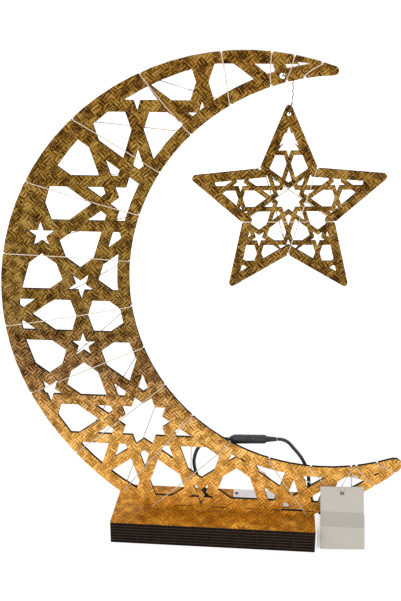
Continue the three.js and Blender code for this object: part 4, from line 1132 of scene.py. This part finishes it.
@dataclass
class Leads:
    """Splice sleeve, lead, inline connector, supply cord with its put-away coil, and the plug on its end."""

    dresser: Dresser
    lead: float = 1.5
    sleeve_foot: Point = (-6.2, -0.5, 31.9)
    sleeve_top: Point = (-13.2, -0.5, 45.5)
    sleeve_radius: float = 2.2
    moon_route: tuple[Point, ...] = (
        (-13.2, -0.5, 45.5), (-15.8, 0.5, 51.5), (-18.4, 2, 63.5), (-15.2, 2, 76), (-7.6, 2, 84.6),
        (0.3, 2, 87.1), (8, 2, 86.9), (12.7, 2, 86.83))
    mouth: Point = (30.4, 2, 87.6)
    rise: float = 2.5
    supply_route: tuple[Point, ...] = (
        (53.4, 2, 88.6), (57.5, 2, 88.5), (62.6, 2.1, 86.2), (68.5, 2.2, 79.7), (74.3, 2.2, 72.4),
        (77.8, 2.2, 66.1),
        (80, 2, 60), (81.6, 2, 53.5), (82.3, 2, 46.7), (82.7, 2, 40), (84, 1.9, 33.3), (87.2, 2.2, 27.3),
        (91, 3.2, 21), (94.4, 4.6, 14.2), (98, 6.5, 8), (102.4, 8.4, 3.9), (107.6, 9.6, 2),
        (112.5, 9.84, 1.62))
    coil_centre: tuple[float, float] = (112.8, 27)
    coil_inner: float = 12.0
    coil_pitch: float = 3.45
    layer_turns: float = 1.25
    climb_turns: float = 0.5
    coil_turns: float = 6.25
    tail_route: tuple[Point, ...] = ((128.9, 32.9, 12.8), (127.3, 39.4, 15.1), (122.1, 44.9, 16.9),
                                     (116.9, 45, 17.1), (113.7, 42.5, 17.6), (112.8, 39.9, 17.6))
    socket_size: tuple[float, float] = (4.0, 17.6)  # radius and length
    bore: float = 2.95
    plug_size: tuple[float, float] = (3.85, 13.5)
    seam: float = 0.04  # the plug is pushed fully home
    relief_length: float = 9.4
    relief_radii: tuple[float, float] = (2.7, 1.95)  # at the root and at the end
    relief_ribs: int = 4

    def coil(self) -> list[Point]:
        """Give the coil's middle line: it spirals in and out and climbs a layer where it reverses."""
        period = self.layer_turns + self.climb_turns
        reverse = self.layer_turns + self.climb_turns / 2
        points = []
        for i in range(round(self.coil_turns * 24) + 1):
            turns = i / 24
            layer = math.floor(turns / period)
            climb = max(0.0, turns - layer * period - self.layer_turns) / self.climb_turns
            phase = abs(turns - reverse) % (2 * period)
            radius = self.coil_inner + self.coil_pitch * (2 * period - phase if phase > period else phase)
            angle = math.radians(-90 + 360 * turns)
            points.append((self.coil_centre[0] + radius * math.cos(angle),
                           self.coil_centre[1] + radius * math.sin(angle),
                           self.lead + 0.12 + self.coil_pitch * (layer + climb)))
        return points

    def build_cords(self) -> None:
        """Build both cords."""
        route = smooth_route(list(self.moon_route), 1.5)
        piece = settle(tube("moon_lead_cord", route, self.lead, 20), Body.STAND, ("moon_lead",))
        self.dresser.dress(piece, PVC)
        on_it = [*self.build_connector(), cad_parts["socket_pin"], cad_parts["plug_barrel"]]
        points = [*self.supply_route[:-1], *self.coil()[::2], *self.tail_route]
        route = smooth_route(points, 1.3)
        piece = settle(tube("supply_cord", route, self.lead, 20), Body.STAND, (
            "supply_lead", "supply_coil", "supply_tail"))
        self.dresser.dress(piece, PVC)

    def build_connector(self) -> list[bpy.types.Object]:
        """Turn the socket, the plug and the plug's ribbed strain relief.

        Returns:
            The three pieces.
        """
        place = Matrix.Translation(self.mouth) @ Matrix.Rotation(-math.radians(self.rise), 4, "Y")
        radius, length = self.socket_size
        socket = [(0, -length), (self.lead + 0.6, -length), (self.lead + 0.9, -length + 0.3),
                  (radius - 0.7, -length + 2.4), (radius - 0.25, -length + 3.0), (radius, -length + 3.6),
                  (radius, -3.2), (radius - 0.2, -3.0), (radius - 0.2, -2.6), (radius, -2.4), (radius, -0.6),
                  (radius - 0.15, -0.2), (radius - 0.4, 0), (self.bore, 0), (self.bore, -9.8), (0, -9.8)]
        radius, length = self.plug_size
        plug = [(0, self.seam), (radius - 0.35, self.seam), (radius - 0.1, self.seam + 0.2),
                (radius, self.seam + 0.5), (radius, length - 1.2), (radius - 0.3, length - 0.5),
                (radius - 0.8, length), (0, length)]
        ribs = [(0, length)]
        pitch = self.relief_length / self.relief_ribs
        root, tip = self.relief_radii
        for i in range(self.relief_ribs):
            start = length + self.seam + i * pitch
            size = root + (tip - root) * i / (self.relief_ribs - 1)
            ribs += [(size - 0.12, start), (size, start + 0.12), (size, start + 0.5 * pitch),
                     (size - 0.12, start + 0.6 * pitch), (size - 0.35, start + 0.66 * pitch),
                     (size - 0.35, start + 0.96 * pitch)]
        ribs.append((0, length + self.relief_length))
        pieces = []
        for node, profile in (("lead_socket", socket), ("supply_plug", plug), ("plug_relief", ribs)):
            piece = settle(turned(f"{node}_moulding", profile, place), Body.STAND, (node,))
            self.dresser.dress(piece, BLACK_MOULDING)
            pieces.append(piece)
        return pieces

    def build_fittings(self) -> None:
        """Dress the sleeve and the plug."""
        self.dresser.dress_nodes(BLACK_MOULDING, "splice_sleeve", "usb_plug_body")
        self.dresser.dress_nodes(PLATING, "socket_pin", "plug_barrel", "usb_plug_shell")


@dataclass
class Tags:
    """Two tags on a clear loop at the crescent's lower horn, and a loose card on the base."""

    dresser: Dresser
    strand: float = 0.4  # radius
    rim: tuple[float, float] = (117.194, 68.367)  # notch floor on the crescent's inner edge, X and Z
    opening: tuple[float, float] = (118.1, 50.6)  # where the strand passes through the fretwork
    hole: Point = (109.99, -12.7, 47.367)
    lean: float = 16.6  # of the tags and their ring, degrees
    ring: float = 3.8

    def build_strands(self) -> None:
        """Build the clear strand: its turn round the crescent's rim, and its ring through the tags."""
        x, z = self.rim
        off = GAP + self.strand
        corner = off * math.sqrt(0.5)
        through = PLATE_BACK + 2 * STRING_OFF + off
        hole_x, hole_z = self.opening
        wrap = [
            (x + 0.1, PLATE_FACE - off, z - 1.1), (x, PLATE_FACE - corner, z + corner * 0.7),
            (x, PLATE_FACE, z + off), (x, PLATE_BACK, z + off), (x, PLATE_BACK + corner, z + corner * 0.7),
            (x, PLATE_BACK + off, z - 1.1), (x, through, z - 6), (hole_x, through, hole_z + 3.4),
            (hole_x, PLATE_BACK, hole_z), (hole_x, PLATE_FACE, hole_z + 0.3),
            (hole_x, PLATE_FACE - off, hole_z + 1.5), (x + 0.9, PLATE_FACE - off, z - 5)]
        piece = tube("clear_strand_round_rim", smooth_route(wrap, 0.4), self.strand, 12)
        self.dresser.dress(settle(piece, Body.STAND, ("tag_loop_wrap",)), CLEAR)
        up, back = math.cos(math.radians(self.lean)), math.sin(math.radians(self.lean))

        def on_ring(across: float, rise: float) -> Point:
            return (self.hole[0], self.hole[1] + across * up + rise * back,
                    self.hole[2] - across * back + rise * up)

        top = on_ring(0, 2 * self.ring)
        route = [Vector((x, PLATE_FACE - off - 0.2, z - 1.1 - 3 * GAP)),
                 Vector((top[0] + 0.6, top[1], top[2] + 0.9))]
        for i in range(41):
            turn = math.radians(82 - 344 * i / 40)
            route.append(Vector(on_ring(self.ring * math.cos(turn), self.ring + self.ring * math.sin(turn))))
        piece = tube("clear_strand_ring", route, self.strand, 12)
        self.dresser.dress(settle(piece, Body.LOOP, ("tag_loop",)), CLEAR)

    def build(self) -> None:
        """Dress the tags and the card, and build the strands."""
        self.dresser.dress_nodes(TAG_CARD, "front_tag")
        self.dresser.dress_nodes(WHITE_CARD, "rear_tag", "lying_card")
        self.dresser.dress_nodes(BLACK_MOULDING, "card_eyelet")
        self.build_strands()


@dataclass
class Plates:
    """The layered base and the crescent's plate, which keep their CAD solids."""

    dresser: Dresser

    def build(self) -> None:
        """Dress the base and the crescent."""
        self.dresser.dress_nodes(STACK_BOARD, *(f"base_sheet_{i + 1}" for i in range(BASE_SHEETS)))
        self.dresser.dress_nodes(FOILS["base_foil"], "base_foil")
        self.dresser.dress_nodes(PLATE_BOARD, "crescent_panel")
        self.dresser.dress_nodes(FOILS["crescent_foil"], "crescent_foil")


def main() -> None:
    """Build the scene in order."""
    logging.basicConfig(level=logging.INFO, format="%(name)s: %(message)s")
    studio = Studio()
    studio.place_camera()
    dresser = Dresser()
    leads = Leads(dresser)
    leads.build_cords()
    leads.build_fittings()
    studio.place_floor()
    studio.place_light()
    edge = CrescentEdge()
    Plates(dresser).build()
    foot = Vector(leads.sleeve_foot)
    MoonLights(dresser, edge).build(foot, (Vector(leads.sleeve_top) - foot).normalized())
    star = Star(dresser, edge)
    star.build()
    Hanger(dresser, star).build()
    Tags(dresser).build()


if __name__ == "__main__":
    main()
